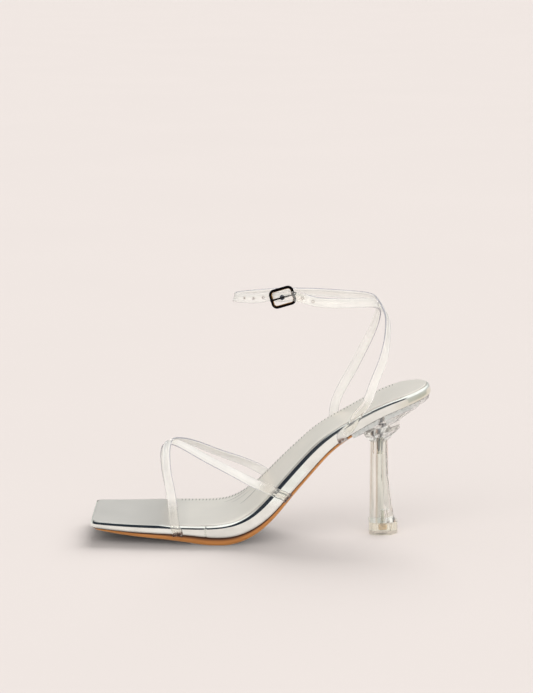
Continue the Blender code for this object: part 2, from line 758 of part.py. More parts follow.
def landing_rows(landing, start, side):
    """Rows that take a strap's end in over the wall and under the footbed, end first.

    The landing's two places are measured back from start."""
    top_x, low_x = [start + place for place in landing]
    mid_x = (top_x + low_x) / 2.0
    out = Vector((0.0, float(side), 0.0))
    down = -foot_normal(low_x)
    edge = half_width(low_x, side)
    under = board_depth(low_x) + GAP + PRESSED_THICKNESS / 2.0
    turn = GAP + PRESSED_THICKNESS / 2.0
    beside = GAP + STRAP_THICKNESS / 2.0
    pressed = (PRESSED_WIDTH, PRESSED_THICKNESS)
    full = (STRAP_WIDTH, STRAP_THICKNESS)
    tuck_y = side * (edge - TUCK)
    edge_y = side * (edge - BEND_START)
    corner_y = side * (edge + turn * BEND_BULGE)
    corner_depth = board_depth(low_x) + turn * BEND_BULGE
    wall_low = side * (edge + beside)
    wall_mid = side * (half_width(mid_x, side) + beside)
    wall_top = side * (half_width(top_x, side) + beside)
    low_depth = board_depth(low_x) - BEND_END
    mid_depth = board_depth(mid_x) * WALL_MIDDLE
    return [
        (foot_point(low_x, tuck_y, under), down, *pressed),
        (foot_point(low_x, edge_y, under), down, *pressed),
        (foot_point(low_x, corner_y, corner_depth), (down + out).normalized(), *pressed),
        (foot_point(low_x, wall_low, low_depth), out, *full),
        (foot_point(mid_x, wall_mid, mid_depth), out, *full),
        (foot_point(top_x, wall_top, -LIP_CLEAR), out, *full),
    ]


def frames_through(rows, spacing=STRAP_SPACING):
    """Places, tangents and facings along a smooth curve through the rows.

    Each frame also says how many rows it has passed."""
    keys = [0.0]
    for before, after in zip(rows, rows[1:]):
        keys.append(keys[-1] + (after[0] - before[0]).length)
    curves = [SmoothCurve(keys, [row[0][axis] for row in rows]) for axis in range(3)]
    frames = []
    step = 0.0001
    for i, (before, after) in enumerate(zip(rows, rows[1:])):
        pieces = max(2, math.ceil((keys[i + 1] - keys[i]) / spacing))
        last = 1 if i == len(rows) - 2 else 0
        for k in range(pieces + last):
            share = k / pieces
            key = keys[i] + share * (keys[i + 1] - keys[i])
            place = Vector([curve.at(key) for curve in curves])
            ahead = Vector([curve.at(min(key + step, keys[-1])) for curve in curves])
            behind = Vector([curve.at(max(key - step, 0.0)) for curve in curves])
            along = (ahead - behind).normalized()
            face = before[1].lerp(after[1], share * share * (3.0 - 2.0 * share))
            face = (face - along * face.dot(along)).normalized()
            width = before[2] + share * (after[2] - before[2])
            thickness = before[3] + share * (after[3] - before[3])
            frames.append((place, along, face, width, thickness, i + share))
    return frames


def strap_section(width, thickness):
    """Section points of a flat strap with rounded edges, across and out."""
    a = width / 2.0
    b = thickness / 2.0
    quarter = [(a, 0.0), (a - 0.30 * b, 0.70 * b), (a - b, b)]
    upper = quarter + [(-x, y) for x, y in reversed(quarter)]
    lower = [(-x, -y) for x, y in upper[1:-1]]
    return upper + lower


def sweep(name, collection, frames, grow=0.0):
    """A strap through its frames, or the clearance round it when it is grown."""
    vertices = []
    faces = []
    loops = []
    for n, (place, along, face, width, thickness, _) in enumerate(frames):
        if n == 0:
            place = place - along * grow
        if n == len(frames) - 1:
            place = place + along * grow
        side = along.cross(face)
        loop = []
        for across, out in strap_section(width + 2.0 * grow, thickness + 2.0 * grow):
            loop.append(len(vertices))
            vertices.append(place + side * across + face * out)
        loops.append(loop)
    for before, after in zip(loops, loops[1:]):
        count = len(before)
        for i in range(count):
            j = (i + 1) % count
            faces.append((before[i], before[j], after[j], after[i]))
    faces.append(tuple(loops[0]))
    faces.append(tuple(loops[-1]))
    return mesh_object(name, vertices, faces, collection)


def clear_landing(name, cutters, frames, targets):
    """Cuts a strap's pressed end, with its clearance, out of what it is tucked between."""
    cutter = sweep(name, cutters, frames, GAP)
    for target in targets:
        boolean(target, cutter, "DIFFERENCE")


def front_straps(parts, cutters, board, outsole):
    """The two straps that cross over the toes, as one solid."""
    routes = (
        ("toe_to_waist", OUTER_TOE_LANDING, TOE_TO_WAIST, INNER_WAIST_LANDING),
        ("waist_to_toe", OUTER_WAIST_LANDING, WAIST_TO_TOE, INNER_TOE_LANDING),
    )
    toe = -LENGTH / 2.0
    made = []
    for name, start, middle, end in routes:
        rows = landing_rows(start, toe, -1)
        landing = len(rows) - 1
        rows += free_rows(middle, BALL_WIDTH, VAMP_HEIGHT)
        rows += landing_rows(end, toe, 1)[::-1]
        frames = frames_through(rows)
        collection = parts if not made else cutters
        made.append(sweep("front_straps" if not made else name, collection, frames))
        near = [f for f in frames if f[5] <= landing]
        far = [f for f in frames if f[5] >= len(rows) - 1 - landing]
        clear_landing(name + "_outer_clearance", cutters, near, (board, outsole))
        clear_landing(name + "_inner_clearance", cutters, far, (board, outsole))
    boolean(made[0], made[1], "UNION")
    return made[0]


class Buckle:
    """The buckle's place: along and up in its own plane, and out from the ankle."""

    def __init__(self):
        turn = math.radians(BUCKLE_TURN)
        slant = math.radians(BUCKLE_SLANT)
        level = Vector((math.cos(turn), -math.sin(turn), 0.0))
        upright = Vector((0.0, 0.0, 1.0))
        self.out = Vector((-math.sin(turn), -math.cos(turn), 0.0))
        self.level = level
        self.along = level * math.cos(slant) + upright * math.sin(slant)
        self.up = upright * math.cos(slant) - level * math.sin(slant)
        self.middle = Vector((
            (BUCKLE_ALONG - 0.5) * LENGTH,
            BUCKLE_ACROSS * ANKLE_WIDTH / 2.0,
            BUCKLE_RISE * ANKLE_HEIGHT,
        ))
        self.far_bar = self.middle - self.along * BUCKLE_LENGTH / 2.0
        self.hinge_bar = self.middle + self.along * BUCKLE_LENGTH / 2.0
        self.ring = BUCKLE_WIRE + GAP + PRONG_RADIUS


def wire(name, collection, points, radius, cyclic, resolution=2):
    """A round wire along points, as a closed mesh."""
    curve = bpy.data.curves.new(name, "CURVE")
    curve.dimensions = "3D"
    spline = curve.splines.new("POLY")
    spline.points.add(len(points) - 1)
    for spot, point in zip(spline.points, points):
        spot.co = (*point, 1.0)
    spline.use_cyclic_u = cyclic
    curve.bevel_depth = radius
    curve.bevel_resolution = resolution
    curve.use_fill_caps = True
    holder = bpy.data.objects.new(name + "_line", curve)
    collection.objects.link(holder)
    bpy.context.view_layer.update()
    shape = holder.evaluated_get(bpy.context.evaluated_depsgraph_get())
    mesh = bpy.data.meshes.new_from_object(shape)
    work = bmesh.new()
    work.from_mesh(mesh)
    bmesh.ops.remove_doubles(work, verts=work.verts, dist=0.00001)
    bmesh.ops.recalc_face_normals(work, faces=work.faces)
    work.to_mesh(mesh)
    work.free()
    made = bpy.data.objects.new(name, mesh)
    made.matrix_world = holder.matrix_world
    collection.objects.link(made)
    bpy.data.objects.remove(holder)
    return made


def frame_points(buckle):
    """The middle line of the buckle frame's wire."""
    points = []
    half_length = BUCKLE_LENGTH / 2.0 - BUCKLE_CORNER
    half_height = BUCKLE_HEIGHT / 2.0 - BUCKLE_CORNER
    corner_steps = 5
    for quarter, (right, high) in enumerate(((1, 1), (-1, 1), (-1, -1), (1, -1))):
        for k in range(corner_steps + 1):
            turn = math.radians(90.0 * (quarter + k / corner_steps))
            x = right * half_length + BUCKLE_CORNER * math.cos(turn)
            y = high * half_height + BUCKLE_CORNER * math.sin(turn)
            points.append(buckle.middle + buckle.along * x + buckle.up * y)
    return points


def make_buckle_frame(parts, buckle):
    return wire("buckle_frame", parts, frame_points(buckle), BUCKLE_WIRE, True)


def prong_points(buckle):
    """Round the hinge bar, then straight over the far bar."""
    points = []
    for degrees in range(-180, 91, 30):
        turn = math.radians(degrees)
        reach = buckle.along * math.cos(turn) + buckle.out * math.sin(turn)
        points.append(buckle.hinge_bar + reach * buckle.ring)
    tip = buckle.far_bar - buckle.along * BUCKLE_WIRE
    points.append(tip + buckle.out * buckle.ring)
    return points


def ankle_straps(parts, cutters, board, outsole, buckle):
    """The two straps from the heel seat, joined behind the ankle, as one solid."""
    eye_radius = BUCKLE_WIRE + GAP + EYE_WALL
    eye_middle = buckle.hinge_bar - buckle.up * EYE_DROP
    full = (STRAP_WIDTH, STRAP_THICKNESS)

    base = landing_rows(INNER_HEEL_LANDING, breast_x(), 1)
    landing = len(base) - 1
    base_free = free_rows(INNER_TO_BUCKLE, ANKLE_WIDTH, ANKLE_HEIGHT)
    base += base_free
    eye_end = eye_middle + buckle.level * EYE_WALL / 2.0
    base.append((eye_end, buckle.out, EYE_WIDTH, STRAP_THICKNESS))
    base_frames = frames_through(base)

    over = landing_rows(OUTER_HEEL_LANDING, breast_x(), -1)
    over += free_rows(OUTER_TO_BUCKLE, ANKLE_WIDTH, ANKLE_HEIGHT)
    inside = BUCKLE_WIRE + GAP + STRAP_THICKNESS / 2.0
    outside = buckle.ring + PRONG_RADIUS + GAP + STRAP_THICKNESS / 2.0
    far = buckle.middle - buckle.level * BUCKLE_LENGTH / 2.0
    hinge = buckle.middle + buckle.level * BUCKLE_LENGTH / 2.0
    over.append((far - buckle.out * inside, buckle.out, *full))
    over.append((buckle.middle + buckle.out * (outside - inside) / 2.0, buckle.out, *full))
    over.append((hinge + buckle.out * outside + buckle.up * BAND_RISE, buckle.out, *full))
    layer_step = STRAP_THICKNESS + GAP
    for place, face, width, thickness in reversed(base_free[-FREE_END_ROWS:]):
        over.append((place + face * layer_step, face, width, thickness))
    over_frames = frames_through(over)

    straps = sweep("ankle_straps", parts, over_frames)
    under = sweep("ankle_base_strap", cutters, base_frames)
    half_eye = buckle.up * EYE_WIDTH / 2.0
    eye = cylinder("buckle_eye", cutters, eye_radius, eye_middle - half_eye, eye_middle + half_eye)
    bore = wire("buckle_eye_bore", cutters, frame_points(buckle), BUCKLE_WIRE + GAP, True)
    slot_half = buckle.up * (PRONG_RADIUS + GAP)
    slot = cylinder(
        "prong_slot", cutters, buckle.ring + PRONG_RADIUS + GAP,
        buckle.hinge_bar - slot_half, buckle.hinge_bar + slot_half,
    )
    hole = wire("prong_hole", cutters, prong_points(buckle), PRONG_RADIUS + GAP, False)
    boolean(under, eye, "UNION")
    boolean(under, bore, "DIFFERENCE")
    boolean(under, slot, "DIFFERENCE")
    boolean(straps, hole, "DIFFERENCE")
    boolean(straps, under, "UNION")

    targets = (board, outsole)
    near = [f for f in over_frames if f[5] <= landing]
    far_end = [f for f in base_frames if f[5] <= landing]
    clear_landing("outer_heel_clearance", cutters, near, targets)
    clear_landing("inner_heel_clearance", cutters, far_end, targets)
    return straps


def material(name):
    colour, roughness, metallic = FINISHES[name]
    made = bpy.data.materials.new(name)
    made.use_nodes = True
    surface = made.node_tree.nodes["Principled BSDF"]
    surface.inputs["Base Color"].default_value = colour
    surface.inputs["Roughness"].default_value = roughness
    surface.inputs["Metallic"].default_value = metallic
    if name.startswith("clear"):
        surface.inputs["Transmission Weight"].default_value = 0.9
    return made


def finish(made, name):
    made.data.materials.append(material(name))
    made.data.shade_smooth()
    made.data.set_sharp_from_angle(angle=math.radians(35.0))


def main():
    for old in list(bpy.data.objects):
        bpy.data.objects.remove(old)
    parts = bpy.data.collections.new("strappy heeled sandal")
    cutters = bpy.data.collections.new("cutters")
    for collection in (parts, cutters):
        bpy.context.scene.collection.children.link(collection)

    toe = -LENGTH / 2.0
    back = LENGTH / 2.0
    board = layer("footbed", parts, toe, back, footbed_rings(), 4)
    insole = layer("insole", parts, toe, back, insole_rings(), 4)
    outsole = layer("outsole", parts, toe, breast_x(), outsole_rings(), 4, cut_end=True, floor=True)
    heel = make_heel(parts)
    cap = make_cap(parts)
    screw = make_screw(parts, cutters, heel, board)
    dowel = make_dowel(parts, cutters, heel, cap)
    vamp = front_straps(parts, cutters, board, outsole)
    buckle = Buckle()
    ankle = ankle_straps(parts, cutters, board, outsole, buckle)
    frame = make_buckle_frame(parts, buckle)
    prong = wire("buckle_prong", parts, prong_points(buckle), PRONG_RADIUS, False)

    finish(board, "silver wrap")
    finish(insole, "silver insole")
    finish(outsole, "tan outsole")
    finish(heel, "clear heel")
    finish(cap, "clear cap")
    finish(screw, "steel")
    finish(dowel, "brass")
    finish(vamp, "clear strap")
    finish(ankle, "clear strap")
    finish(frame, "black metal")
    finish(prong, "black metal")

    for cutter in cutters.objects:
        cutter.hide_render = True
        cutter.display_type = "WIRE"


main()
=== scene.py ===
import json
import math

import bmesh
import bpy
import numpy as np
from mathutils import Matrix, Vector

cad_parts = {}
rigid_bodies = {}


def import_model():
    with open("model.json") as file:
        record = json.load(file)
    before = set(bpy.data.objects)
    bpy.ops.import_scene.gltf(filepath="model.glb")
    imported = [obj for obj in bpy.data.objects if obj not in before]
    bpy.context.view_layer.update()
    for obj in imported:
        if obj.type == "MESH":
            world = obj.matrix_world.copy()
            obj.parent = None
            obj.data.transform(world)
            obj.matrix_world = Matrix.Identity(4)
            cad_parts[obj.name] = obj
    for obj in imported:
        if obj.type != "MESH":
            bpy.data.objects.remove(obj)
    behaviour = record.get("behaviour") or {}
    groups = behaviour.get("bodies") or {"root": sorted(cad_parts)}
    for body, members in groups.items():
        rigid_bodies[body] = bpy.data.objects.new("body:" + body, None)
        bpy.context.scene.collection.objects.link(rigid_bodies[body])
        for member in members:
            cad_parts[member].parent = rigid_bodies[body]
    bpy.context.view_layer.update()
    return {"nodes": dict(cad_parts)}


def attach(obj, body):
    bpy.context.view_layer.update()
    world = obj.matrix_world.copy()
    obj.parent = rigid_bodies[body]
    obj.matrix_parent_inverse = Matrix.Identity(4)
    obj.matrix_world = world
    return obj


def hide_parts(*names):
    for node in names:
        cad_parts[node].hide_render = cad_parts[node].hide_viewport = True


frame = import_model()
print("frame loaded")

# camera, at the photograph's angle
camera = {"place": (0.004, -1.5, 0.3872), "tilt": 79.95, "lens": 124.42}

cameraData = bpy.data.cameras.new("camera")
cameraData.lens = camera["lens"]
cameraData.sensor_width = 36.0
cameraData.clip_end = 200.0
cameraObject = bpy.data.objects.new("camera", cameraData)
cameraObject.location = camera["place"]
cameraObject.rotation_euler = (math.radians(camera["tilt"]), 0.0, 0.0)
bpy.context.scene.collection.objects.link(cameraObject)
bpy.context.scene.camera = cameraObject
bpy.context.scene.view_settings.view_transform = "Standard"
bpy.context.scene.view_settings.look = "None"
print("camera placed")


# material helpers; those that work on a source give back the socket to link on
def newMaterial(name):
    made = bpy.data.materials.new(name)
    made.use_nodes = True
    tree = made.node_tree
    return made, tree, tree.nodes["Principled BSDF"]


def addNode(tree, kind, settings=None, values=None):
    node = tree.nodes.new(kind)
    for key, value in (settings or {}).items():
        setattr(node, key, value)
    for key, value in (values or {}).items():
        node.inputs[key].default_value = value
    return node


def objectNoise(tree, scale, detail=4.0, stretch=(1.0, 1.0, 1.0)):
    place = addNode(tree, "ShaderNodeTexCoord")
    mapping = addNode(tree, "ShaderNodeMapping", values={"Scale": stretch})
    noise = addNode(tree, "ShaderNodeTexNoise", values={"Scale": scale, "Detail": detail})
    tree.links.new(place.outputs["Object"], mapping.inputs["Vector"])
    tree.links.new(mapping.outputs["Vector"], noise.inputs["Vector"])
    return noise.outputs["Fac"]


def colourRamp(tree, source, stops):
    ramp = addNode(tree, "ShaderNodeValToRGB")
    points = ramp.color_ramp.elements
    while len(points) < len(stops):
        points.new(0.5)
    for point, (place, colour) in zip(points, stops):
        point.position = place
        point.color = (*colour, 1.0)
    tree.links.new(source, ramp.inputs["Fac"])
    return ramp.outputs["Color"]


def spreadValue(tree, source, low, high, fromLow=0.0, fromHigh=1.0):
    spread = addNode(tree, "ShaderNodeMapRange", values={
        "From Min": fromLow, "From Max": fromHigh, "To Min": low, "To Max": high})
    tree.links.new(source, spread.inputs["Value"])
    return spread.outputs["Result"]


def mixColours(tree, share, first, second):
    mixed = addNode(tree, "ShaderNodeMix", {"data_type": "RGBA"})
    tree.links.new(share, mixed.inputs["Factor"])
    for name, colour in (("A", first), ("B", second)):
        if hasattr(colour, "links"):
            tree.links.new(colour, mixed.inputs[name])
        else:
            mixed.inputs[name].default_value = (*colour, 1.0)
    return mixed.outputs["Result"]


def multiplyColours(tree, first, second, share=1.0):
    mixed = addNode(tree, "ShaderNodeMix", {"data_type": "RGBA", "blend_type": "MULTIPLY"})
    mixed.inputs["Factor"].default_value = share
    tree.links.new(first, mixed.inputs["A"])
    tree.links.new(second, mixed.inputs["B"])
    return mixed.outputs["Result"]


def joinValues(tree, operation, first, second):
    joined = addNode(tree, "ShaderNodeMath", {"operation": operation})
    tree.links.new(first, joined.inputs[0])
    tree.links.new(second, joined.inputs[1])
    return joined.outputs["Value"]


# the place in the shoe's own frame, as X, Y and Z
def objectAxes(tree):
    place = addNode(tree, "ShaderNodeTexCoord")
    split = addNode(tree, "ShaderNodeSeparateXYZ")
    tree.links.new(place.outputs["Object"], split.inputs["Vector"])
    return split


def smoothBand(tree, source, low, high):
    band = addNode(tree, "ShaderNodeMapRange", {"interpolation_type": "SMOOTHSTEP"})
    tree.links.new(source, band.inputs["Value"])
    for name, value in (("From Min", low), ("From Max", high)):
        if hasattr(value, "links"):
            tree.links.new(value, band.inputs[name])
        else:
            band.inputs[name].default_value = value
    return band.outputs["Result"]


# a value that the mesh holds at its points
def pointShare(tree, name):
    return addNode(tree, "ShaderNodeAttribute", {"attribute_name": name}).outputs["Fac"]


# sources: (height socket, strength, distance)
def addBump(tree, surface, sources):
    last = None
    for height, strength, distance in sources:
        bump = addNode(tree, "ShaderNodeBump", values={"Strength": strength, "Distance": distance})
        tree.links.new(height, bump.inputs["Height"])
        if last:
            tree.links.new(last.outputs["Normal"], bump.inputs["Normal"])
        last = bump
    tree.links.new(last.outputs["Normal"], surface.inputs["Normal"])


# the footbed's shape, from the same table as the CAD
shoe = {
    "length": 0.215,             # in plan, toe to heel
    "ballWidth": 0.0745,
    "treadHeight": 0.0135,       # top of the footbed at the ball
    "seatHeight": 0.099,         # and at the heel
    "archRaise": 0.004,          # how much higher the waist is on the inner side
    "toeCorner": 0.005,
    "heelRound": 0.023,
    "boardDepth": 0.0102,
    "outsoleDepth": 0.0054,
    "seatLength": 0.0545,        # from the heel's front edge to the back
    "gap": 0.0003,               # between neighbouring pieces
}
sectionColumns = ("along", "rise", "outer", "inner", "arch", "board", "outsole")
sectionRows = (
    (0.000, 0.013, 0.790, 0.800, 0.00, 0.41, 0.30),
    (0.100, 0.002, 0.872, 0.905, 0.00, 0.51, 0.57),
    (0.200, 0.000, 0.948, 0.972, 0.00, 0.57, 0.77),
    (0.300, 0.000, 0.995, 0.992, 0.00, 0.67, 1.03),
    (0.375, 0.009, 1.004, 0.960, 0.10, 0.86, 1.09),
    (0.416, 0.034, 0.992, 0.915, 0.35, 0.94, 1.00),
    (0.453, 0.083, 0.965, 0.860, 0.70, 0.98, 0.86),
    (0.500, 0.179, 0.913, 0.785, 1.00, 1.00, 0.64),
    (0.551, 0.317, 0.838, 0.715, 0.92, 1.00, 0.52),
    (0.602, 0.452, 0.755, 0.668, 0.72, 1.00, 0.48),
    (0.658, 0.588, 0.694, 0.646, 0.40, 0.95, 0.46),
    (0.709, 0.680, 0.667, 0.645, 0.12, 0.87, 0.44),
    (0.760, 0.754, 0.664, 0.656, 0.00, 0.81, 0.42),
    (0.826, 0.844, 0.676, 0.671, 0.00, 0.75, 0.42),
    (0.891, 0.918, 0.690, 0.687, 0.00, 0.71, 0.42),
    (0.951, 0.968, 0.690, 0.690, 0.00, 0.66, 0.42),
    (1.000, 1.000, 0.690, 0.690, 0.00, 0.62, 0.42),
)


class SmoothCurve:
    def __init__(self, keys, values):
        self.keys = np.array(keys, float)
        self.values = np.array(values, float)
        count = len(self.keys)
        system = np.eye(count)
        right = np.zeros(count)
        spans = np.diff(self.keys)
        slopes = np.diff(self.values) / spans
        for i in range(1, count - 1):
            system[i, i - 1] = spans[i - 1]
            system[i, i] = 2.0 * (spans[i - 1] + spans[i])
            system[i, i + 1] = spans[i]
            right[i] = 6.0 * (slopes[i] - slopes[i - 1])
        self.bends = np.linalg.solve(system, right)

    def at(self, key):
        key = np.asarray(key, float)
        i = np.clip(np.searchsorted(self.keys, key) - 1, 0, len(self.keys) - 2)
        span = self.keys[i + 1] - self.keys[i]
        left = self.keys[i + 1] - key
        right = key - self.keys[i]
        cubic = (self.bends[i] * left ** 3 + self.bends[i + 1] * right ** 3) / (6.0 * span)
        lineLeft = (self.values[i] / span - self.bends[i] * span / 6.0) * left
        lineRight = (self.values[i + 1] / span - self.bends[i + 1] * span / 6.0) * right
        return cubic + lineLeft + lineRight


sectionCurves = {
    column: SmoothCurve([row[0] for row in sectionRows], [row[n] for row in sectionRows])
    for n, column in enumerate(sectionColumns)
}
halfLength = shoe["length"] / 2.0
breastX = halfLength - shoe["seatLength"]


def sectionAt(column, x):
    along = np.clip(np.asarray(x, float) / shoe["length"] + 0.5, 0.0, 1.0)
    return sectionCurves[column].at(along)


def topHeight(x):
    return shoe["treadHeight"] + sectionAt("rise", x) * (shoe["seatHeight"] - shoe["treadHeight"])


def slopeAngle(x):
    low = np.maximum(np.asarray(x, float) - 0.0005, -halfLength)
    high = np.minimum(np.asarray(x, float) + 0.0005, halfLength)
    return np.arctan2(topHeight(high) - topHeight(low), high - low)


def boardDepth(x):
    return sectionAt("board", x) * shoe["boardDepth"]


def soleDepth(x):
    return boardDepth(x) + sectionAt("outsole", x) * shoe["outsoleDepth"]


def halfWidth(x, side):
    x = np.asarray(x, float)
    width = sectionAt("inner" if side > 0 else "outer", x) * shoe["ballWidth"] / 2.0
    corner = shoe["toeCorner"]
    toeReach = np.clip(corner - (x + halfLength), 0.0, corner)
    width = width - corner + np.sqrt(corner ** 2 - toeReach ** 2)
    backReach = np.clip((shoe["heelRound"] - (halfLength - x)) / shoe["heelRound"], 0.0, 1.0)
    return width * np.sqrt(1.0 - backReach ** 2)


def footPoint(x, y, depth):
    tilt = sectionAt("arch", x) * shoe["archRaise"]
    tilt = tilt / (halfWidth(x, -1) + halfWidth(x, 1) + shoe["gap"])
    slope = slopeAngle(x)
    height = topHeight(x) + tilt * y
    return np.stack([x + depth * np.sin(slope), y, height - depth * np.cos(slope)], axis=-1)


def footNormal(x):
    slope = float(slopeAngle(x))
    return Vector((-math.sin(slope), 0.0, math.cos(slope)))


# places along the foot, close together round the toe corner and the back
def planLoop(stop, step=0.0011):
    toe = -halfLength
    angles = np.radians(np.linspace(0.0, 82.0, 9))
    xs = list(toe + shoe["toeCorner"] * (1.0 - np.cos(angles)))
    roundStart = min(halfLength - shoe["heelRound"], stop)
    count = int((roundStart - xs[-1]) / step)
    xs += list(np.linspace(xs[-1], roundStart, count + 1)[1:])
    if stop > roundStart:
        turns = np.radians(np.linspace(0.0, 86.0, 30)[1:])
        xs += list(roundStart + shoe["heelRound"] * np.sin(turns))
    return np.array(xs)


# plan points of both sides, moved in by inset (one value, or one for each place)
def insetLoop(xs, inset, cutEnd=False):
    outer = np.stack([xs, -halfWidth(xs, -1)], axis=1)
    inner = np.stack([xs, halfWidth(xs, 1)], axis=1)
    loop = np.concatenate([outer, inner[::-1]])
    insets = np.broadcast_to(np.asarray(inset, float), xs.shape)
    insets = np.concatenate([insets, insets[::-1]])
    before = loop - np.roll(loop, 1, axis=0)
    after = np.roll(loop, -1, axis=0) - loop
    half = len(xs)
    if cutEnd:
        after[half - 1] = before[half - 1]
        before[half] = after[half]
    before = before / np.maximum(np.linalg.norm(before, axis=1, keepdims=True), 1e-9)
    after = after / np.maximum(np.linalg.norm(after, axis=1, keepdims=True), 1e-9)
    way = before + after
    way = way / np.linalg.norm(way, axis=1, keepdims=True)
    square = np.stack([-way[:, 1], way[:, 0]], axis=1)
    stretch = 1.0 / np.maximum(np.sqrt((1.0 + (before * after).sum(axis=1)) / 2.0), 0.6)
    if cutEnd:
        for i in (half - 1, half):
            square[i] = (0.0, np.sign(square[i][1]))
    moved = loop + square * (insets * stretch)[:, None]
    return moved[:half], moved[half:][::-1]


# a ring of points round a place, in the plane of two directions that carry its radii
def addRing(points, place, first, second, sides):
    start = len(points)
    for k in range(sides):
        turn = 2.0 * math.pi * k / sides
        points.append(place + first * math.cos(turn) + second * math.sin(turn))
    return range(start, start + sides)


# faces between two rings of points
def bridge(faces, before, after):
    for k in range(len(before)):
        j = (k + 1) % len(before)
        faces.append((before[k], before[j], after[j], after[k]))


def pointValues(made, name, values):
    attribute = made.data.attributes.new(name, "FLOAT", "POINT")
    attribute.data.foreach_set("value", np.array(values, np.float32))


def wearOnly(made, material):
    made.data.materials.clear()
    made.data.materials.append(material)


def buildMesh(name, points, faces, smoothAngle=None):
    mesh = bpy.data.meshes.new(name)
    mesh.from_pydata([tuple(p) for p in points], [], faces)
    work = bmesh.new()
    work.from_mesh(mesh)
    bmesh.ops.recalc_face_normals(work, faces=work.faces)
    work.to_mesh(mesh)
    work.free()
    mesh.shade_smooth()
    if smoothAngle:
        mesh.set_sharp_from_angle(angle=math.radians(smoothAngle))
    made = bpy.data.objects.new(name, mesh)
    bpy.context.scene.collection.objects.link(made)
    return made


# a layer of the sole. rings: (inset function, depth function) from the top ring down
# the point attribute "level" runs from 0 at the top ring to 1 at the last
def layerMesh(name, xs, rings, across, cutEnd=False, floor=False, raiseTop=None, smoothAngle=None):
    points = []
    levels = []
    faces = []

    def put(place, level):
        points.append(np.array(place))
        levels.append(level)
        return len(points) - 1

    def between(left, right, level, top):
        ids = []
        for k in range(1, across):
            share = k / across
            spot = points[left] * (1.0 - share) + points[right] * share
            if top and raiseTop:
                spot = spot + raiseTop(spot, share)
            ids.append(put(spot, level))
        return ids

    loops = []
    for n, (insetAt, depthAt) in enumerate(rings):
        outer, inner = insetLoop(xs, insetAt(xs), cutEnd)
        sides = []
        for line in (outer, inner):
            placed = footPoint(line[:, 0], line[:, 1], depthAt(xs))
            if floor:
                placed[:, 2] = np.maximum(placed[:, 2], 0.0)
            sides.append([put(p, n / (len(rings) - 1.0)) for p in placed])
        level = n / (len(rings) - 1.0)
        front = between(sides[0][0], sides[1][0], level, False)
        back = between(sides[0][-1], sides[1][-1], level, False)
        loops.append((sides[0], sides[1], front, back))
    outlines = [o + b + i[::-1] + f[::-1] for o, i, f, b in loops]
    for upper, lower in zip(outlines, outlines[1:]):
        bridge(faces, upper, lower)
    for top, (outer, inner, front, back) in ((True, loops[0]), (False, loops[-1])):
        level = 0.0 if top else 1.0
        rows = [front]
        for left, right in zip(outer[1:-1], inner[1:-1]):
            rows.append(between(left, right, level, top))
        rows.append(back)
        strips = [[left] + row + [right] for left, row, right in zip(outer, rows, inner)]
        for near, far in zip(strips, strips[1:]):
            for k in range(across):
                faces.append((near[k], near[k + 1], far[k + 1], far[k]))
    made = buildMesh(name, points, faces, smoothAngle)
    pointValues(made, "level", levels)
    return made


def constant(value):
    return lambda x: np.full(np.shape(x), value, float)


# footbed: silver wrap
wrap = {
    # along the shoe; depth and tilt where the edge starts beside the sock; arc radius;
    # length and tilt of the shoulder under the arc (tilts from upright)
    "edge": (
        (0.00, 0.00025, 60.0, 0.0005, 0.0013, 17.0),
        (0.20, 0.00025, 60.0, 0.0005, 0.0017, 17.0),
        (0.25, 0.00060, 88.0, 0.0017, 0.0006, 15.0),
        (0.40, 0.00080, 88.0, 0.0018, 0.0006, 15.0),
        (0.46, 0.00125, 62.0, 0.0010, 0.0016, 13.0),
        (0.66, 0.00130, 62.0, 0.0010, 0.0016, 13.0),
        (0.73, 0.00080, 88.0, 0.0015, 0.0010, 14.0),
        (1.00, 0.00080, 88.0, 0.0014, 0.0003, 14.0),
    ),
    "ease": 0.0002,          # radius at the shoulder's foot
    "seamX": -0.0346,        # the upright seam in the wall, outer side of the ball
    "seamWidth": 0.00040,
    "seamDepth": 0.00070,
    "top": 0.0013,
    "lap": 0.0015,           # how far the wrap runs on under the sock
    "tuck": 0.0007,
    "tuckRise": 0.0012,
    "colour": (0.96, 0.99, 0.955),
    "shade": (0.84, 0.86, 0.82),
    # painted reflection: an olive grey cast painted low on the heel's wall
    "oliveReflection": (0.78, 0.755, 0.62),
    "reflectionX": (0.080, 0.100),         # where the painted olive reflection comes in at the heel
    "reflectionLevel": (0.62, 0.75),       # and over which part of the wall's height
    "reflectionShare": 0.8,
    "roughness": 0.07,
    "waviness": 0.00022,
}


def edgeAt(x):
    places, *columns = zip(*wrap["edge"])
    along = np.asarray(x) / shoe["length"] + 0.5
    depth, startTilt, radius, shoulder, tilt = [np.interp(along, places, values) for values in columns]
    return depth, np.radians(startTilt), radius, shoulder, np.radians(tilt)


def seam(x):
    return wrap["seamDepth"] * np.exp(-((x - wrap["seamX"]) / wrap["seamWidth"]) ** 2)


# inset and depth of the wrap's edge: share 0 where it starts, 1 where the arc meets the
# shoulder, 2 at the shoulder's foot and 3 at the upright wall
def wrapEdge(share):
    def profile(x):
        depth, startTilt, radius, shoulder, tilt = edgeAt(x)
        ease = wrap["ease"]
        lean = startTilt + (tilt - startTilt) * min(share, 1.0)
        run = min(max(share - 1.0, 0.0), 1.0)
        turn = tilt * (1.0 - max(share - 2.0, 0.0))
        inset = radius * (np.cos(tilt) - np.cos(lean)) + shoulder * np.sin(tilt) * (1.0 - run)
        inset = inset + ease * (1.0 - np.cos(turn))
        drop = depth + radius * (np.sin(startTilt) - np.sin(lean)) + shoulder * np.cos(tilt) * run
        return inset, drop + ease * (np.sin(tilt) - np.sin(turn))
    return profile


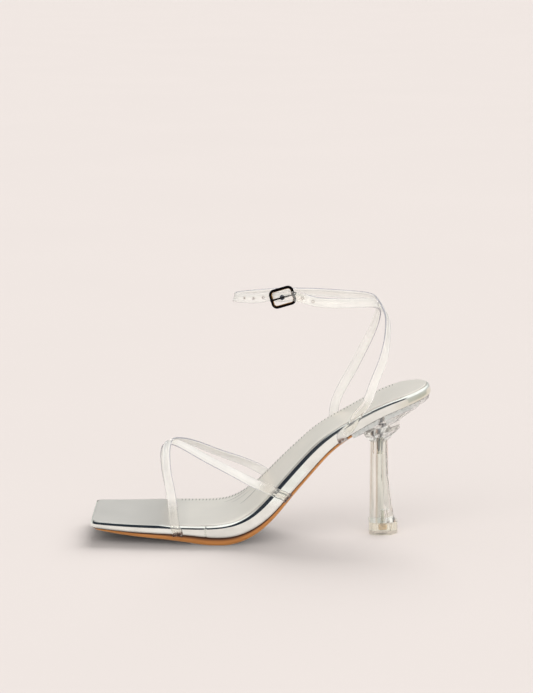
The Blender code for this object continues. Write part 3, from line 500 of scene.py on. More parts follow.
def makeFootbed():
    start = wrapEdge(0.0)
    rings = [
        (lambda x: start(x)[0] + wrap["lap"], constant(wrap["top"])),
        (lambda x: start(x)[0] + 0.0001, constant(wrap["top"])),
    ]
    arc = [0.0, 0.12, 0.24, 0.36, 0.48, 0.6, 0.7, 0.8, 0.9, 1.0]
    shoulder = [1.25, 1.5, 1.75, 2.0]
    for share in arc + shoulder + [2.4, 2.7, 3.0]:
        profile = wrapEdge(share)
        rings.append((lambda x, p=profile: p(x)[0] + seam(x), lambda x, p=profile: p(x)[1]))
    foot = rings[-1][1]
    for share in (0.3, 0.6, 0.85):
        rings.append((seam, lambda x, s=share: (
            foot(x) * (1.0 - s) + (boardDepth(x) - wrap["tuckRise"]) * s)))
    for turn in np.radians(np.linspace(0.0, 90.0, 5)):
        inset = wrap["tuck"] * (1.0 - math.cos(turn))
        lift = wrap["tuckRise"] * (1.0 - math.sin(turn))
        rings.append((lambda x, i=inset: i + seam(x), lambda x, l=lift: boardDepth(x) - l))
    rings.append((constant(wrap["tuck"] + 0.001), boardDepth))
    seamSteps = np.array([-2.0, -1.3, -0.7, -0.3, 0.0, 0.3, 0.7, 1.3, 2.0])
    seamPlaces = wrap["seamX"] + wrap["seamWidth"] * seamSteps
    xs = planLoop(halfLength)
    xs = np.sort(np.concatenate([xs[np.abs(xs - wrap["seamX"]) > 2.5 * wrap["seamWidth"]], seamPlaces]))
    made = layerMesh("footbedWrap", xs, rings, 10, smoothAngle=50.0)
    material, tree, surface = newMaterial("silverWrap")
    surface.inputs["Metallic"].default_value = 1.0
    cloud = objectNoise(tree, 110.0, 3.0, (0.5, 1.0, 1.0))
    clouded = colourRamp(tree, cloud, [(0.35, wrap["shade"]), (0.6, wrap["colour"])])
    # painted reflection: the olive grey cast is mixed into the silver low on the heel's wall
    back = spreadValue(tree, objectAxes(tree).outputs["X"], 0.0, wrap["reflectionShare"], *wrap["reflectionX"])
    low = smoothBand(tree, pointShare(tree, "level"), *wrap["reflectionLevel"])
    share = joinValues(tree, "MULTIPLY", back, low)
    oliveReflection = mixColours(tree, share, clouded, wrap["oliveReflection"])
    tree.links.new(oliveReflection, surface.inputs["Base Color"])
    wave = objectNoise(tree, 55.0, 2.0)
    grain = objectNoise(tree, 900.0, 3.0)
    rough = spreadValue(tree, grain, wrap["roughness"] - 0.03, wrap["roughness"] + 0.07)
    tree.links.new(rough, surface.inputs["Roughness"])
    addBump(tree, surface, [
        (wave, 0.35, wrap["waviness"]),
        (grain, 0.25, 0.00003),
    ])
    made.data.materials.append(material)
    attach(made, "root")
    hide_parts("footbed")


makeFootbed()
print("footbed wrap made")

# insole: satin silver sock
sock = {
    "inset": ((0.0, 0.0013), (0.25, 0.0014), (0.40, 0.0021), (0.47, 0.0010), (0.66, 0.0010),
              (0.73, 0.0017), (1.0, 0.0017)),
    "bendIn": ((0.0, 0.0006), (0.36, 0.0007), (0.46, 0.0048), (0.64, 0.0054), (0.72, 0.0026),
               (0.78, 0.0009), (1.0, 0.0008)),
    "bendDown": ((0.0, 0.00035), (0.36, 0.0004), (0.46, 0.00140), (0.64, 0.0015), (0.72, 0.0008),
                 (0.80, 0.0004), (1.0, 0.0004)),
    "thickness": 0.0010,
    # the colours along the length are painted reflection and shade: dark at the toe and darker just behind
    # it, light over the ball, lightest over the waist
    "toe": (0.67, 0.655, 0.63),
    "toePaintedShade": (0.60, 0.585, 0.56),
    "ball": (0.84, 0.81, 0.76),
    "waist": (0.97, 0.93, 0.86),
    "seat": (0.90, 0.86, 0.80),
    # painted shade in the crease troughs
    "creasePaintedShade": (0.22, 0.215, 0.20),
    "mottle": 0.22,
    "roughness": 0.30,
    # troughs: start and end in plan, half width, depth
    "creases": (
        ((-0.0124, -0.0003), (-0.0028, 0.0071), 0.0007, 0.00050),
        ((-0.0231, 0.0200), (-0.0092, 0.0229), 0.0006, 0.00040),
        ((-0.0180, 0.0130), (-0.0070, 0.0165), 0.0007, 0.00025),
    ),
}


def alongTable(name, x):
    places, values = zip(*sock[name])
    return np.interp(np.asarray(x) / shoe["length"] + 0.5, places, values)


# how far the sock's top lies below its middle at a distance in from its edge
def sockDrop(x, inFromEdge):
    width = alongTable("bendIn", x)
    rest = np.clip(1.0 - inFromEdge / width, 0.0, 1.0)
    return alongTable("bendDown", x) * (1.0 - np.sqrt(1.0 - rest ** 2))


def creaseDepth(spot):
    drop = 0.0
    for start, end, width, depth in sock["creases"]:
        line = np.subtract(end, start)
        run = np.clip(np.dot(spot[:2] - start, line) / np.dot(line, line), 0.0, 1.0)
        away = np.linalg.norm(spot[:2] - start - line * run)
        drop += depth * math.exp(-(away / width) ** 2) * math.sin(math.pi * (0.15 + 0.7 * run))
    return drop


def crease(spot, share):
    return np.array([0.0, 0.0, -creaseDepth(spot)])


def makeInsole():
    def edge(x):
        return alongTable("inset", x)

    rings = []
    for turn in np.radians(np.linspace(90.0, 0.0, 8)):
        over = 1.0 - math.cos(turn)
        drop = 1.0 - math.sin(turn)
        rings.append((lambda x, o=over: edge(x) + alongTable("bendIn", x) * o,
                      lambda x, d=drop: alongTable("bendDown", x) * d))
    rings.append((edge, constant(sock["thickness"])))
    xs = planLoop(halfLength, 0.0009)
    made = layerMesh("insoleSock", xs, rings, 64, raiseTop=crease, smoothAngle=60.0)
    deepest = sock["creases"][0][3]
    pointValues(made, "fold", [min(creaseDepth(np.array(v.co)) / deepest, 1.0) for v in made.data.vertices])
    material, tree, surface = newMaterial("silverSock")
    # painted reflection and shade: the base colour ramps along the length
    along = spreadValue(tree, objectAxes(tree).outputs["X"], 0.0, 1.0, -halfLength, halfLength)
    base = colourRamp(tree, along, [
        (0.0, sock["toe"]), (0.10, sock["toe"]), (0.20, sock["toePaintedShade"]), (0.29, sock["ball"]),
        (0.40, sock["ball"]), (0.52, sock["waist"]), (0.72, sock["waist"]), (0.86, sock["seat"])])
    cloud = objectNoise(tree, 45.0, 3.0)
    cloudTint = colourRamp(tree, cloud, [(0.3, (0.78, 0.78, 0.78)), (0.7, (1.0, 1.0, 1.0))])
    mottle = multiplyColours(tree, base, cloudTint, sock["mottle"])
    # painted shade: the crease troughs are darkened
    folded = mixColours(tree, pointShare(tree, "fold"), mottle, sock["creasePaintedShade"])
    tree.links.new(folded, surface.inputs["Base Color"])
    surface.inputs["Metallic"].default_value = 0.96
    grain = objectNoise(tree, 1400.0, 5.0)
    pebble = addNode(tree, "ShaderNodeTexVoronoi", values={"Scale": 700.0})
    place = addNode(tree, "ShaderNodeTexCoord")
    tree.links.new(place.outputs["Object"], pebble.inputs["Vector"])
    rough = spreadValue(tree, cloud, sock["roughness"] - 0.06, sock["roughness"] + 0.1)
    tree.links.new(rough, surface.inputs["Roughness"])
    addBump(tree, surface, [
        (pebble.outputs["Distance"], 0.25, 0.00012),
        (grain, 0.25, 0.00005),
        (cloud, 0.3, 0.0006),
    ])
    made.data.materials.append(material)
    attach(made, "root")
    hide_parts("insole")


makeInsole()
print("insole made")

# thread bars laid over the insole's edge along the inner side, from the ball to the heel
stitch = {
    "start": -0.0515,
    "end": 0.0870,
    "pitch": 0.00235,
    "length": 0.0045,
    "fromEdge": 0.0009,
    "radius": 0.00026,
    "colour": (0.30, 0.30, 0.27),
}


def addCapsule(points, faces, line, normal, radius, sides=6):
    last = len(line) - 1
    loops = []
    for i, place in enumerate(line):
        along = (line[min(i + 1, last)] - line[max(i - 1, 0)]).normalized()
        side = along.cross(normal).normalized()
        size = radius * (0.35 if i in (0, last) else 1.0)
        loops.append(addRing(points, place, side * size, normal * size, sides))
    for before, after in zip(loops, loops[1:]):
        bridge(faces, before, after)
    faces.append(tuple(loops[0]))
    faces.append(tuple(loops[-1]))


def makeStitches():
    points = []
    faces = []
    count = int((stitch["end"] - stitch["start"]) / 0.0005)
    walk = np.linspace(stitch["start"], stitch["end"], count)
    rim = footPoint(walk, halfWidth(walk, 1), 0.0)
    run = np.concatenate([[0.0], np.cumsum(np.linalg.norm(np.diff(rim, axis=0), axis=1))])
    for place in np.arange(0.0, run[-1], stitch["pitch"]):
        x = float(np.interp(place, run, walk))
        ahead = np.array([x - 0.0004, min(x + 0.0004, stitch["end"])])
        edge = np.stack([ahead, halfWidth(ahead, 1)], axis=1)
        way = (edge[1] - edge[0]) / np.linalg.norm(edge[1] - edge[0])
        inward = np.array([way[1], -way[0]])
        normal = footNormal(x)
        line = []
        for share in (0.0, 0.2, 0.5, 0.8, 1.0):
            inFromEdge = stitch["fromEdge"] + stitch["length"] * share
            fromWall = float(alongTable("inset", x)) + inFromEdge
            plan = np.array([x, float(halfWidth(x, 1))]) + inward * fromWall
            drop = float(sockDrop(x, inFromEdge))
            bulge = stitch["radius"] * (0.9 * math.sin(math.pi * share) - 0.3)
            line.append(Vector(footPoint(plan[0], plan[1], drop)) + normal * bulge)
        addCapsule(points, faces, line, normal, stitch["radius"])
    made = buildMesh("insoleStitches", points, faces, 50.0)
    material, tree, surface = newMaterial("silverThread")
    twist = objectNoise(tree, 2500.0, 3.0)
    tint = colourRamp(tree, twist, [
        (0.3, tuple(0.6 * c for c in stitch["colour"])), (0.7, stitch["colour"])])
    tree.links.new(tint, surface.inputs["Base Color"])
    surface.inputs["Roughness"].default_value = 0.5
    addBump(tree, surface, [(twist, 0.4, 0.00005)])
    made.data.materials.append(material)
    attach(made, "root")


makeStitches()
print("stitches made")

# outsole: tan leather
outsole = {
    "inset": 0.0013,
    "bevel": 0.0014,
    "dark": (0.075, 0.022, 0.008),
    "tan": (0.56, 0.225, 0.062),
    "light": (0.84, 0.44, 0.16),
    "streaks": 0.7,
    "roughness": 0.38,
}


def makeOutsole():
    gap = shoe["gap"]
    inset = outsole["inset"]
    bevel = outsole["bevel"]

    def downTo(lift, least):
        return lambda x: np.maximum(soleDepth(x) - lift, boardDepth(x) + least)

    rings = [
        (constant(inset + 0.0004), lambda x: boardDepth(x) + gap),
        (constant(inset), lambda x: boardDepth(x) + gap + 0.0002),
        (constant(inset - 0.0001), downTo(bevel * 1.6, 1.5 * gap)),
        (constant(inset), downTo(bevel, 2.0 * gap)),
        (constant(inset + 0.2 * bevel), downTo(0.75 * bevel, 2.4 * gap)),
        (constant(inset + 0.5 * bevel), downTo(0.5 * bevel, 3.0 * gap)),
        (constant(inset + 1.1 * bevel), downTo(0.2 * bevel, 3.3 * gap)),
        (constant(inset + 2.0 * bevel), soleDepth),
    ]
    made = layerMesh("tanOutsole", planLoop(breastX), rings, 12, cutEnd=True, floor=True, smoothAngle=40.0)
    material, tree, surface = newMaterial("tanLeather")
    base = colourRamp(tree, pointShare(tree, "level"), [
        (0.0, outsole["dark"]), (0.16, outsole["dark"]), (0.24, outsole["tan"]),
        (0.50, outsole["tan"]), (0.62, outsole["light"]), (0.86, outsole["tan"])])
    streak = objectNoise(tree, 160.0, 4.0, (0.25, 1.0, 3.0))
    streakTint = colourRamp(tree, streak, [
        (0.35, (0.72, 0.70, 0.68)), (0.65, (1.0, 1.0, 1.0))])
    mixed = multiplyColours(tree, base, streakTint, outsole["streaks"])
    tree.links.new(mixed, surface.inputs["Base Color"])
    rough = spreadValue(tree, streak, outsole["roughness"] - 0.1, outsole["roughness"] + 0.15)
    tree.links.new(rough, surface.inputs["Roughness"])
    surface.inputs["Specular IOR Level"].default_value = 0.3
    surface.inputs["Coat Weight"].default_value = 0.1
    surface.inputs["Coat Roughness"].default_value = 0.25
    grain = objectNoise(tree, 1100.0, 4.0)
    addBump(tree, surface, [
        (streak, 0.3, 0.00015),
        (grain, 0.3, 0.00005),
    ])
    made.data.materials.append(material)
    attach(made, "root")
    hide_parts("outsole")
    made.visible_diffuse = False         # keeps a tan glow off the floor


makeOutsole()
print("outsole made")


# clear plastics
def clearMaterial(name, colour, transmission, roughness, ior, coat, waveScale, waveHeight,
                  stretch=(1.0, 1.0, 1.0), shade=0.86):
    material, tree, surface = newMaterial(name)
    streak = objectNoise(tree, waveScale, 3.0, stretch)
    base = colourRamp(tree, streak, [
        (0.34, tuple(c * shade for c in colour)), (0.50, colour)])
    tree.links.new(base, surface.inputs["Base Color"])
    surface.inputs["Transmission Weight"].default_value = transmission
    surface.inputs["IOR"].default_value = ior
    surface.inputs["Coat Weight"].default_value = coat
    surface.inputs["Coat Roughness"].default_value = 0.04
    rough = spreadValue(tree, streak, roughness, roughness + 0.05)
    tree.links.new(rough, surface.inputs["Roughness"])
    addBump(tree, surface, [(streak, 0.25, waveHeight)])
    return material


# heel: clear block with a flared seat and foot, and its cap
clearHeel = {
    "colour": (0.985, 0.98, 0.965),
    "transmission": 0.93,
    "roughness": 0.02,
    "line": 420.0,
    "lineHeight": 0.0006,
    "shade": 0.78,
    # painted light and refraction across the shank, as share of its width from the front
    "refractionBands": [(0.0, (1.0, 0.99, 0.955)), (0.34, (1.0, 0.99, 0.955)), (0.38, (0.66, 0.55, 0.44)),
              (0.43, (0.85, 0.88, 0.82)), (0.62, (0.88, 0.91, 0.85)), (0.68, (1.0, 0.99, 0.96))],
    "bandFront": 0.0682,
    "bandWidth": 0.0170,
    "bandTop": (0.060, 0.070),       # heights over which the bands end
}
heelCap = {
    "colour": (0.98, 0.95, 0.83),
    "transmission": 0.82,
    "roughness": 0.06,
    "line": 200.0,
    "lineHeight": 0.0003,
    "shade": 0.85,
}


# painted light and refraction: cream at the front of the shank, then a brown line and a grey green core,
# standing in for what shows through the clear plastic
def paintRefractionBands(material):
    tree = material.node_tree
    axes = objectAxes(tree)
    front = clearHeel["bandFront"]
    across = spreadValue(tree, axes.outputs["X"], 0.0, 1.0, front, front + clearHeel["bandWidth"])
    band = colourRamp(tree, across, clearHeel["refractionBands"])
    up = smoothBand(tree, axes.outputs["Z"], *clearHeel["bandTop"])
    tint = mixColours(tree, up, band, (1.0, 1.0, 1.0))
    surface = tree.nodes["Principled BSDF"]
    streaks = surface.inputs["Base Color"].links[0].from_socket
    both = multiplyColours(tree, streaks, tint)
    tree.links.new(both, surface.inputs["Base Color"])


# fine upright lines in the moulded plastic, which also draw its refraction
def makeHeelFinish():
    for name, node, values in (("clearHeel", "heel", clearHeel), ("clearCap", "heel_cap", heelCap)):
        material = clearMaterial(name, values["colour"], values["transmission"], values["roughness"],
                                 1.46, 0.2, values["line"], values["lineHeight"], (1.0, 1.0, 0.06),
                                 values["shade"])
        nodeObject = frame["nodes"][node]
        wearOnly(nodeObject, material)
        nodeObject.visible_shadow = False
        if node == "heel":
            paintRefractionBands(material)


makeHeelFinish()
print("heel finished")

# straps
strap = {
    "width": 0.0060,
    "thickness": 0.0017,
    "hollow": 0.66,              # thickness of the middle, as share of the beaded rims
    "pressedWidth": 0.0068,      # where an end is pressed flat under the footbed
    "pressedThickness": 0.0012,
    "tuck": 0.0060,              # how far an end runs in under the footbed
    "reflectionReach": 0.0036,         # how far the painted brown reflection shows beyond the tuck
    "reflectionFade": 0.0012,
    "bendStart": 0.0016,
    "bendEnd": 0.0014,
    "wallMiddle": 0.45,
    "lipClear": 0.0010,
    "vampHeight": 0.0612,        # where the front straps cross
    "ankleHeight": 0.1545,
    "ankleWidth": 0.0570,
    "spacing": 0.0011,           # between rings of points along a strap
    "colour": (1.0, 0.985, 0.95),
    "transmission": 0.56,
    "clearTransmission": 0.94,
    # painted shade along the rims
    "rimPaintedShade": (0.50, 0.50, 0.56),
    # painted reflection of the outsole's brown at the tucked ends
    "endPaintedReflection": (0.20, 0.10, 0.07),
    # painted shade round the belt holes
    "holePaintedShade": (0.62, 0.58, 0.54),
    "roughness": 0.04,
}
# along, across, height, heading, lift
toeToWaist = (
    (0.241, -1.020, 0.550, 252.0, 4.0),
    (0.230, -0.870, 0.740, 232.0, 20.0),
    (0.224, -0.600, 0.900, 220.0, 40.0),
    (0.225, -0.245, 0.971, 200.0, 58.0),
    (0.237, 0.090, 0.982, 168.0, 64.0),
    (0.288, 0.378, 0.922, 138.0, 58.0),
    (0.360, 0.600, 0.793, 120.0, 46.0),
    (0.440, 0.765, 0.668, 104.0, 28.0),
)
waistToToe = (
    (0.497, -0.915, 0.634, 262.0, 32.0),
    (0.437, -0.785, 0.722, 254.0, 50.0),
    (0.373, -0.590, 0.812, 246.0, 60.0),
    (0.311, -0.320, 0.894, 228.0, 67.0),
    (0.256, -0.020, 0.956, 190.0, 68.0),
    (0.224, 0.255, 0.932, 155.0, 56.0),
    (0.210, 0.620, 0.715, 128.0, 32.0),
    (0.217, 0.900, 0.440, 105.0, 10.0),
)
outerToBuckle = (
    (0.803, -0.960, 0.566, 275.0, 4.0),
    (0.829, -0.945, 0.652, 285.0, 5.0),
    (0.857, -0.835, 0.752, 300.0, 8.0),
    (0.873, -0.560, 0.857, 325.0, 10.0),
    (0.870, -0.260, 0.925, 345.0, 16.0),
    (0.854, 0.000, 0.959, 365.0, 20.0),
    (0.836, 0.320, 0.977, 385.0, 14.0),
    (0.781, 0.760, 0.979, 418.0, 18.0),
    (0.705, 0.980, 0.982, 441.0, 28.0),
    (0.618, 1.000, 0.986, 452.0, 30.0),
    (0.529, 0.800, 0.988, 478.0, 24.0),
    (0.458, 0.440, 0.989, 508.0, 18.0),
    (0.424, 0.000, 0.993, 540.0, 14.0),
    (0.452, -0.430, 1.000, 572.0, 10.0),
    (0.494, -0.700, 1.007, 600.0, 5.0),
)
innerToBuckle = (
    (0.732, 0.905, 0.538, 85.0, 4.0),
    (0.772, 0.875, 0.648, 74.0, 5.0),
    (0.811, 0.700, 0.762, 55.0, 8.0),
    (0.842, 0.380, 0.873, 35.0, 12.0),
    (0.850, 0.160, 0.927, 16.0, 18.0),
    (0.848, -0.090, 0.959, -6.0, 20.0),
    (0.829, -0.385, 0.979, -25.0, 14.0),
    (0.790, -0.715, 0.988, -52.0, 8.0),
    (0.723, -0.960, 0.994, -76.0, 3.0),
    (0.682, -1.026, 0.999, -86.0, 1.0),
    (0.648, -1.036, 1.007, -92.0, 0.0),
)
landings = {
    "outerToe": (0.0538, 0.0556),
    "innerWaist": (0.1097, 0.1118),
    "outerWaist": (0.1152, 0.1170),
    "innerToe": (0.0482, 0.0478),
    "outerHeel": (0.0085, -0.0053),
    "innerHeel": (-0.0047, -0.0117),
}


def facing(heading, lift):
    turn = math.radians(heading)
    up = math.radians(lift)
    return Vector((math.cos(turn) * math.cos(up), math.sin(turn) * math.cos(up), math.sin(up)))


def freeRows(rows, width, height):
    made = []
    for along, across, rise, heading, lift in rows:
        place = Vector(((along - 0.5) * shoe["length"], across * width / 2.0, rise * height))
        made.append((place, facing(heading, lift), strap["width"], strap["thickness"]))
    return made


def footVector(x, y, depth):
    return Vector(footPoint(np.float64(x), np.float64(y), np.float64(depth)))


# rows that take a strap's end in over the wall and under the footbed, end first
def landingRows(landing, start, side):
    gap = shoe["gap"]
    topX, lowX = [start + place for place in landings[landing]]
    midX = (topX + lowX) / 2.0
    out = Vector((0.0, float(side), 0.0))
    down = -footNormal(lowX)
    edge = float(halfWidth(lowX, side))
    lowBoard = float(boardDepth(lowX))
    turn = gap + strap["pressedThickness"] / 2.0
    beside = gap + strap["thickness"] / 2.0
    pressed = (strap["pressedWidth"], strap["pressedThickness"])
    full = (strap["width"], strap["thickness"])
    wallMid = side * (float(halfWidth(midX, side)) + beside)
    wallTop = side * (float(halfWidth(topX, side)) + beside)
    cornerY = side * (edge + turn * 0.55)
    midDepth = float(boardDepth(midX)) * strap["wallMiddle"]
    return [
        (footVector(lowX, side * (edge - strap["tuck"]), lowBoard + turn), down, *pressed),
        (footVector(lowX, side * (edge - strap["bendStart"]), lowBoard + turn), down, *pressed),
        (footVector(lowX, cornerY, lowBoard + turn * 0.55), (down + out).normalized(), *pressed),
        (footVector(lowX, side * (edge + beside), lowBoard - strap["bendEnd"]), out, *full),
        (footVector(midX, wallMid, midDepth), out, *full),
        (footVector(topX, wallTop, -strap["lipClear"]), out, *full),
    ]


def strapFrames(rows, spacing):
    keys = [0.0]
    for before, after in zip(rows, rows[1:]):
        keys.append(keys[-1] + (after[0] - before[0]).length)
    curves = [SmoothCurve(keys, [row[0][axis] for row in rows]) for axis in range(3)]
    step = 0.0001
    frames = []
    for i, (before, after) in enumerate(zip(rows, rows[1:])):
        pieces = max(2, math.ceil((keys[i + 1] - keys[i]) / spacing))
        last = 1 if i == len(rows) - 2 else 0
        for k in range(pieces + last):
            share = k / pieces
            key = keys[i] + share * (keys[i + 1] - keys[i])
            place = Vector([float(curve.at(key)) for curve in curves])
            ahead = Vector([float(curve.at(min(key + step, keys[-1]))) for curve in curves])
            behind = Vector([float(curve.at(max(key - step, 0.0))) for curve in curves])
            along = (ahead - behind).normalized()
            face = before[1].lerp(after[1], share * share * (3.0 - 2.0 * share))
            face = (face - along * face.dot(along)).normalized()
            width = before[2] + share * (after[2] - before[2])
            thickness = before[3] + share * (after[3] - before[3])
            frames.append((place, along, face, width, thickness))
    return frames


# rounded edges and a slightly hollow middle, so that the rims catch the light
def strapSection(width, thickness):
    edge = width / 2.0
    bead = thickness / 2.0
    quarter = []
    for turn in np.radians([0, 22, 45, 68, 90]):
        quarter.append((edge - bead + bead * math.cos(turn), bead * math.sin(turn)))
    for back, height in ((1.4, 0.94), (1.8, 0.78), (2.2, 0.70)):
        quarter.append((edge - back * bead, bead * height))
    middle = bead * strap["hollow"]
    quarter.append((0.30 * edge, middle))
    upper = quarter + [(0.0, middle)] + [(-x, y) for x, y in reversed(quarter)]
    lower = [(-x, -y) for x, y in upper[1:-1]]
    return upper + lower


# how far along the strap each frame lies
def runOf(frames):
    run = [0.0]
    for before, after in zip(frames, frames[1:]):
        run.append(run[-1] + (after[0] - before[0]).length)
    return run


def sweepStrap(name, frames):
    run = runOf(frames)
    reach = strap["tuck"] + strap["reflectionReach"]
    rims = []
    ends = []
    points = []
    faces = []
    loops = []
    for (place, along, face, width, thickness), here in zip(frames, run):
        side = along.cross(face)
        loop = []
        fromEnds = ((here, frames[0]), (run[-1] - here, frames[-1]))
        fromEnd = min(away for away, end in fromEnds if end[4] < strap["thickness"])
        for across, out in strapSection(width, thickness):
            loop.append(len(points))
            points.append(place + side * across + face * out)
            rims.append(1.0 if abs(across) > width / 2.0 - 0.1 * thickness else 0.0)
            ends.append(max(0.0, min(1.0, (reach - fromEnd) / strap["reflectionFade"])))
        loops.append(loop)
    for before, after in zip(loops, loops[1:]):
        bridge(faces, before, after)
    faces.append(tuple(loops[0]))
    faces.append(tuple(loops[-1]))
    made = buildMesh(name, points, faces, 60.0)
    pointValues(made, "rim", rims)
    pointValues(made, "pressed", ends)
    return made


def joinSolid(piece, other, operation="UNION"):
    change = piece.modifiers.new(operation.lower(), "BOOLEAN")
    change.operation = operation
    change.solver = "EXACT"
    change.object = other
    bpy.context.view_layer.update()
    cut = piece.evaluated_get(bpy.context.evaluated_depsgraph_get())
    mesh = bpy.data.meshes.new_from_object(cut)
    piece.modifiers.clear()
    piece.data = mesh
    bpy.data.objects.remove(other)


toeX = -halfLength


# 1 within a small ball round a place, 0 outside it
def spotShare(tree, place, radius):
    here = addNode(tree, "ShaderNodeTexCoord")
    away = addNode(tree, "ShaderNodeVectorMath", {"operation": "DISTANCE"})
    tree.links.new(here.outputs["Object"], away.inputs[0])
    away.inputs[1].default_value = place
    return smoothBand(tree, away.outputs["Value"], radius, radius * 0.45)


# the straps' plastic: painted shade grey along the rims, a painted brown reflection of the outsole at the
# tucked ends, clear at the buckle
def makeStrapMaterial():
    made = clearMaterial("clearStrap", strap["colour"], strap["transmission"], strap["roughness"],
                         1.42, 0.3, 90.0, 0.00015, shade=0.97)
    tree = made.node_tree
    surface = tree.nodes["Principled BSDF"]
    tint = surface.inputs["Base Color"].links[0].from_socket
    tint = mixColours(tree, pointShare(tree, "rim"), tint, strap["rimPaintedShade"])
    # painted reflection: brown patches of the outsole at the tucked ends
    reflectionNoise = objectNoise(tree, 520.0, 3.0)
    reflectionPatch = smoothBand(tree, reflectionNoise, 0.40, 0.56)
    share = joinValues(tree, "MULTIPLY", pointShare(tree, "pressed"), reflectionPatch)
    tint = mixColours(tree, share, tint, strap["endPaintedReflection"])
    tree.links.new(tint, surface.inputs["Base Color"])
    near = spotShare(tree, tuple(hingeBar), 0.011)
    for landing, start, radius in (
        ("outerToe", toeX, 0.021), ("outerWaist", toeX, 0.015), ("outerHeel", breastX, 0.018),
    ):
        x = start + landings[landing][0]
        spot = footPoint(x, -float(halfWidth(x, -1)), 0.002)
        share = spotShare(tree, tuple(float(v) for v in spot), radius)
        near = joinValues(tree, "MAXIMUM", near, share)
    clear = spreadValue(tree, near, strap["transmission"], strap["clearTransmission"])
    tree.links.new(clear, surface.inputs["Transmission Weight"])
    return made


def tintSpots(material, places, radius, colour):
    tree = material.node_tree
    surface = tree.nodes["Principled BSDF"]
    tint = surface.inputs["Base Color"].links[0].from_socket
    for place in places:
        share = spotShare(tree, tuple(place), radius)
        tint = mixColours(tree, share, tint, colour)
    tree.links.new(tint, surface.inputs["Base Color"])


# buckle
buckle = {
    "length": 0.0140,
    "height": 0.0105,
    "corner": 0.0026,
    "wire": 0.0008,
    "frameWire": 0.00098,
    "eyelet": 0.00115,
    "eyeletWire": 0.00034,
    "slant": 17.0,
    "turn": 7.0,
    "along": 0.565,
    "across": -0.974,
    "rise": 1.019,
    "prong": 0.00055,
    "eyeWall": 0.0008,
    "eyeWidth": 0.0066,
    "eyeDrop": 0.0004,
    "bandRise": 0.0013,
    "freeEndRows": 3,            # rows of the lower band that the free end follows
    "black": (0.006, 0.005, 0.006),
    "worn": (0.16, 0.08, 0.02),
    "gilt": (0.42, 0.24, 0.08),
    "eyeletSteel": (0.10, 0.12, 0.17),
}
buckleTurn = math.radians(buckle["turn"])
buckleSlant = math.radians(buckle["slant"])
buckleLevel = Vector((math.cos(buckleTurn), -math.sin(buckleTurn), 0.0))
buckleOut = Vector((-math.sin(buckleTurn), -math.cos(buckleTurn), 0.0))
upright = Vector((0.0, 0.0, 1.0))
buckleAlong = buckleLevel * math.cos(buckleSlant) + upright * math.sin(buckleSlant)
buckleUp = upright * math.cos(buckleSlant) - buckleLevel * math.sin(buckleSlant)
buckleMiddle = Vector((
    (buckle["along"] - 0.5) * shoe["length"],
    buckle["across"] * strap["ankleWidth"] / 2.0,
    buckle["rise"] * strap["ankleHeight"],
))
hingeBar = buckleMiddle + buckleAlong * buckle["length"] / 2.0
prongRing = buckle["wire"] + shoe["gap"] + buckle["prong"]


strapMaterial = makeStrapMaterial()


# sharp only at the cut edges, and in the straps' plastic
def finishStrap(made):
    made.data.shade_smooth()
    made.data.set_sharp_from_angle(angle=math.radians(60.0))
    wearOnly(made, strapMaterial)
    made.visible_shadow = False


def makeFrontStraps():
    near = landingRows("outerToe", toeX, -1) + freeRows(toeToWaist, shoe["ballWidth"], strap["vampHeight"])
    near += landingRows("innerWaist", toeX, 1)[::-1]
    far = landingRows("outerWaist", toeX, -1) + freeRows(waistToToe, shoe["ballWidth"], strap["vampHeight"])
    far += landingRows("innerToe", toeX, 1)[::-1]
    made = sweepStrap("frontStraps", strapFrames(near, strap["spacing"]))
    other = sweepStrap("frontStrapOver", strapFrames(far, strap["spacing"]))
    joinSolid(made, other)
    finishStrap(made)
    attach(made, "root")
    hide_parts("front_straps")


makeFrontStraps()
print("front straps made")

beltHoles = {
    "pitch": 0.0070,
    "radius": 0.00060,
    "sides": 14,
    "tintRadius": 0.0016,
    "places": (-4, -3, -2, 2, 3),
    "nearBuckle": 60,            # the buckle lies within this many rings of the band's end
}


# pins through the band, counted in pitches from the prong's hole, towards the free end
def holePunch(frames):
    run = runOf(frames)
    lastRings = range(len(frames) - beltHoles["nearBuckle"], len(frames))
    middle = min(lastRings, key=lambda i: (frames[i][0] - buckleMiddle).length)
    points = []
    faces = []
    tinted = []
    radius = beltHoles["radius"]
    for count in beltHoles["places"]:
        target = run[middle] + count * beltHoles["pitch"]
        i = min(range(len(frames)), key=lambda k: abs(run[k] - target))
        place, along, face = frames[i][:3]
        side = along.cross(face)
        loops = []
        for out in (-1.2, 1.2):
            centre = place + face * (out * strap["thickness"] / 2.0)
            loops.append(addRing(points, centre, along * radius, side * radius, beltHoles["sides"]))
        bridge(faces, *loops)
        faces.append(tuple(loops[0]))
        faces.append(tuple(loops[1]))
        tinted.append(place)
    # painted shade: the plastic round each hole is darkened
    tintSpots(strapMaterial, tinted, beltHoles["tintRadius"], strap["holePaintedShade"])
    return buildMesh("beltHoles", points, faces)


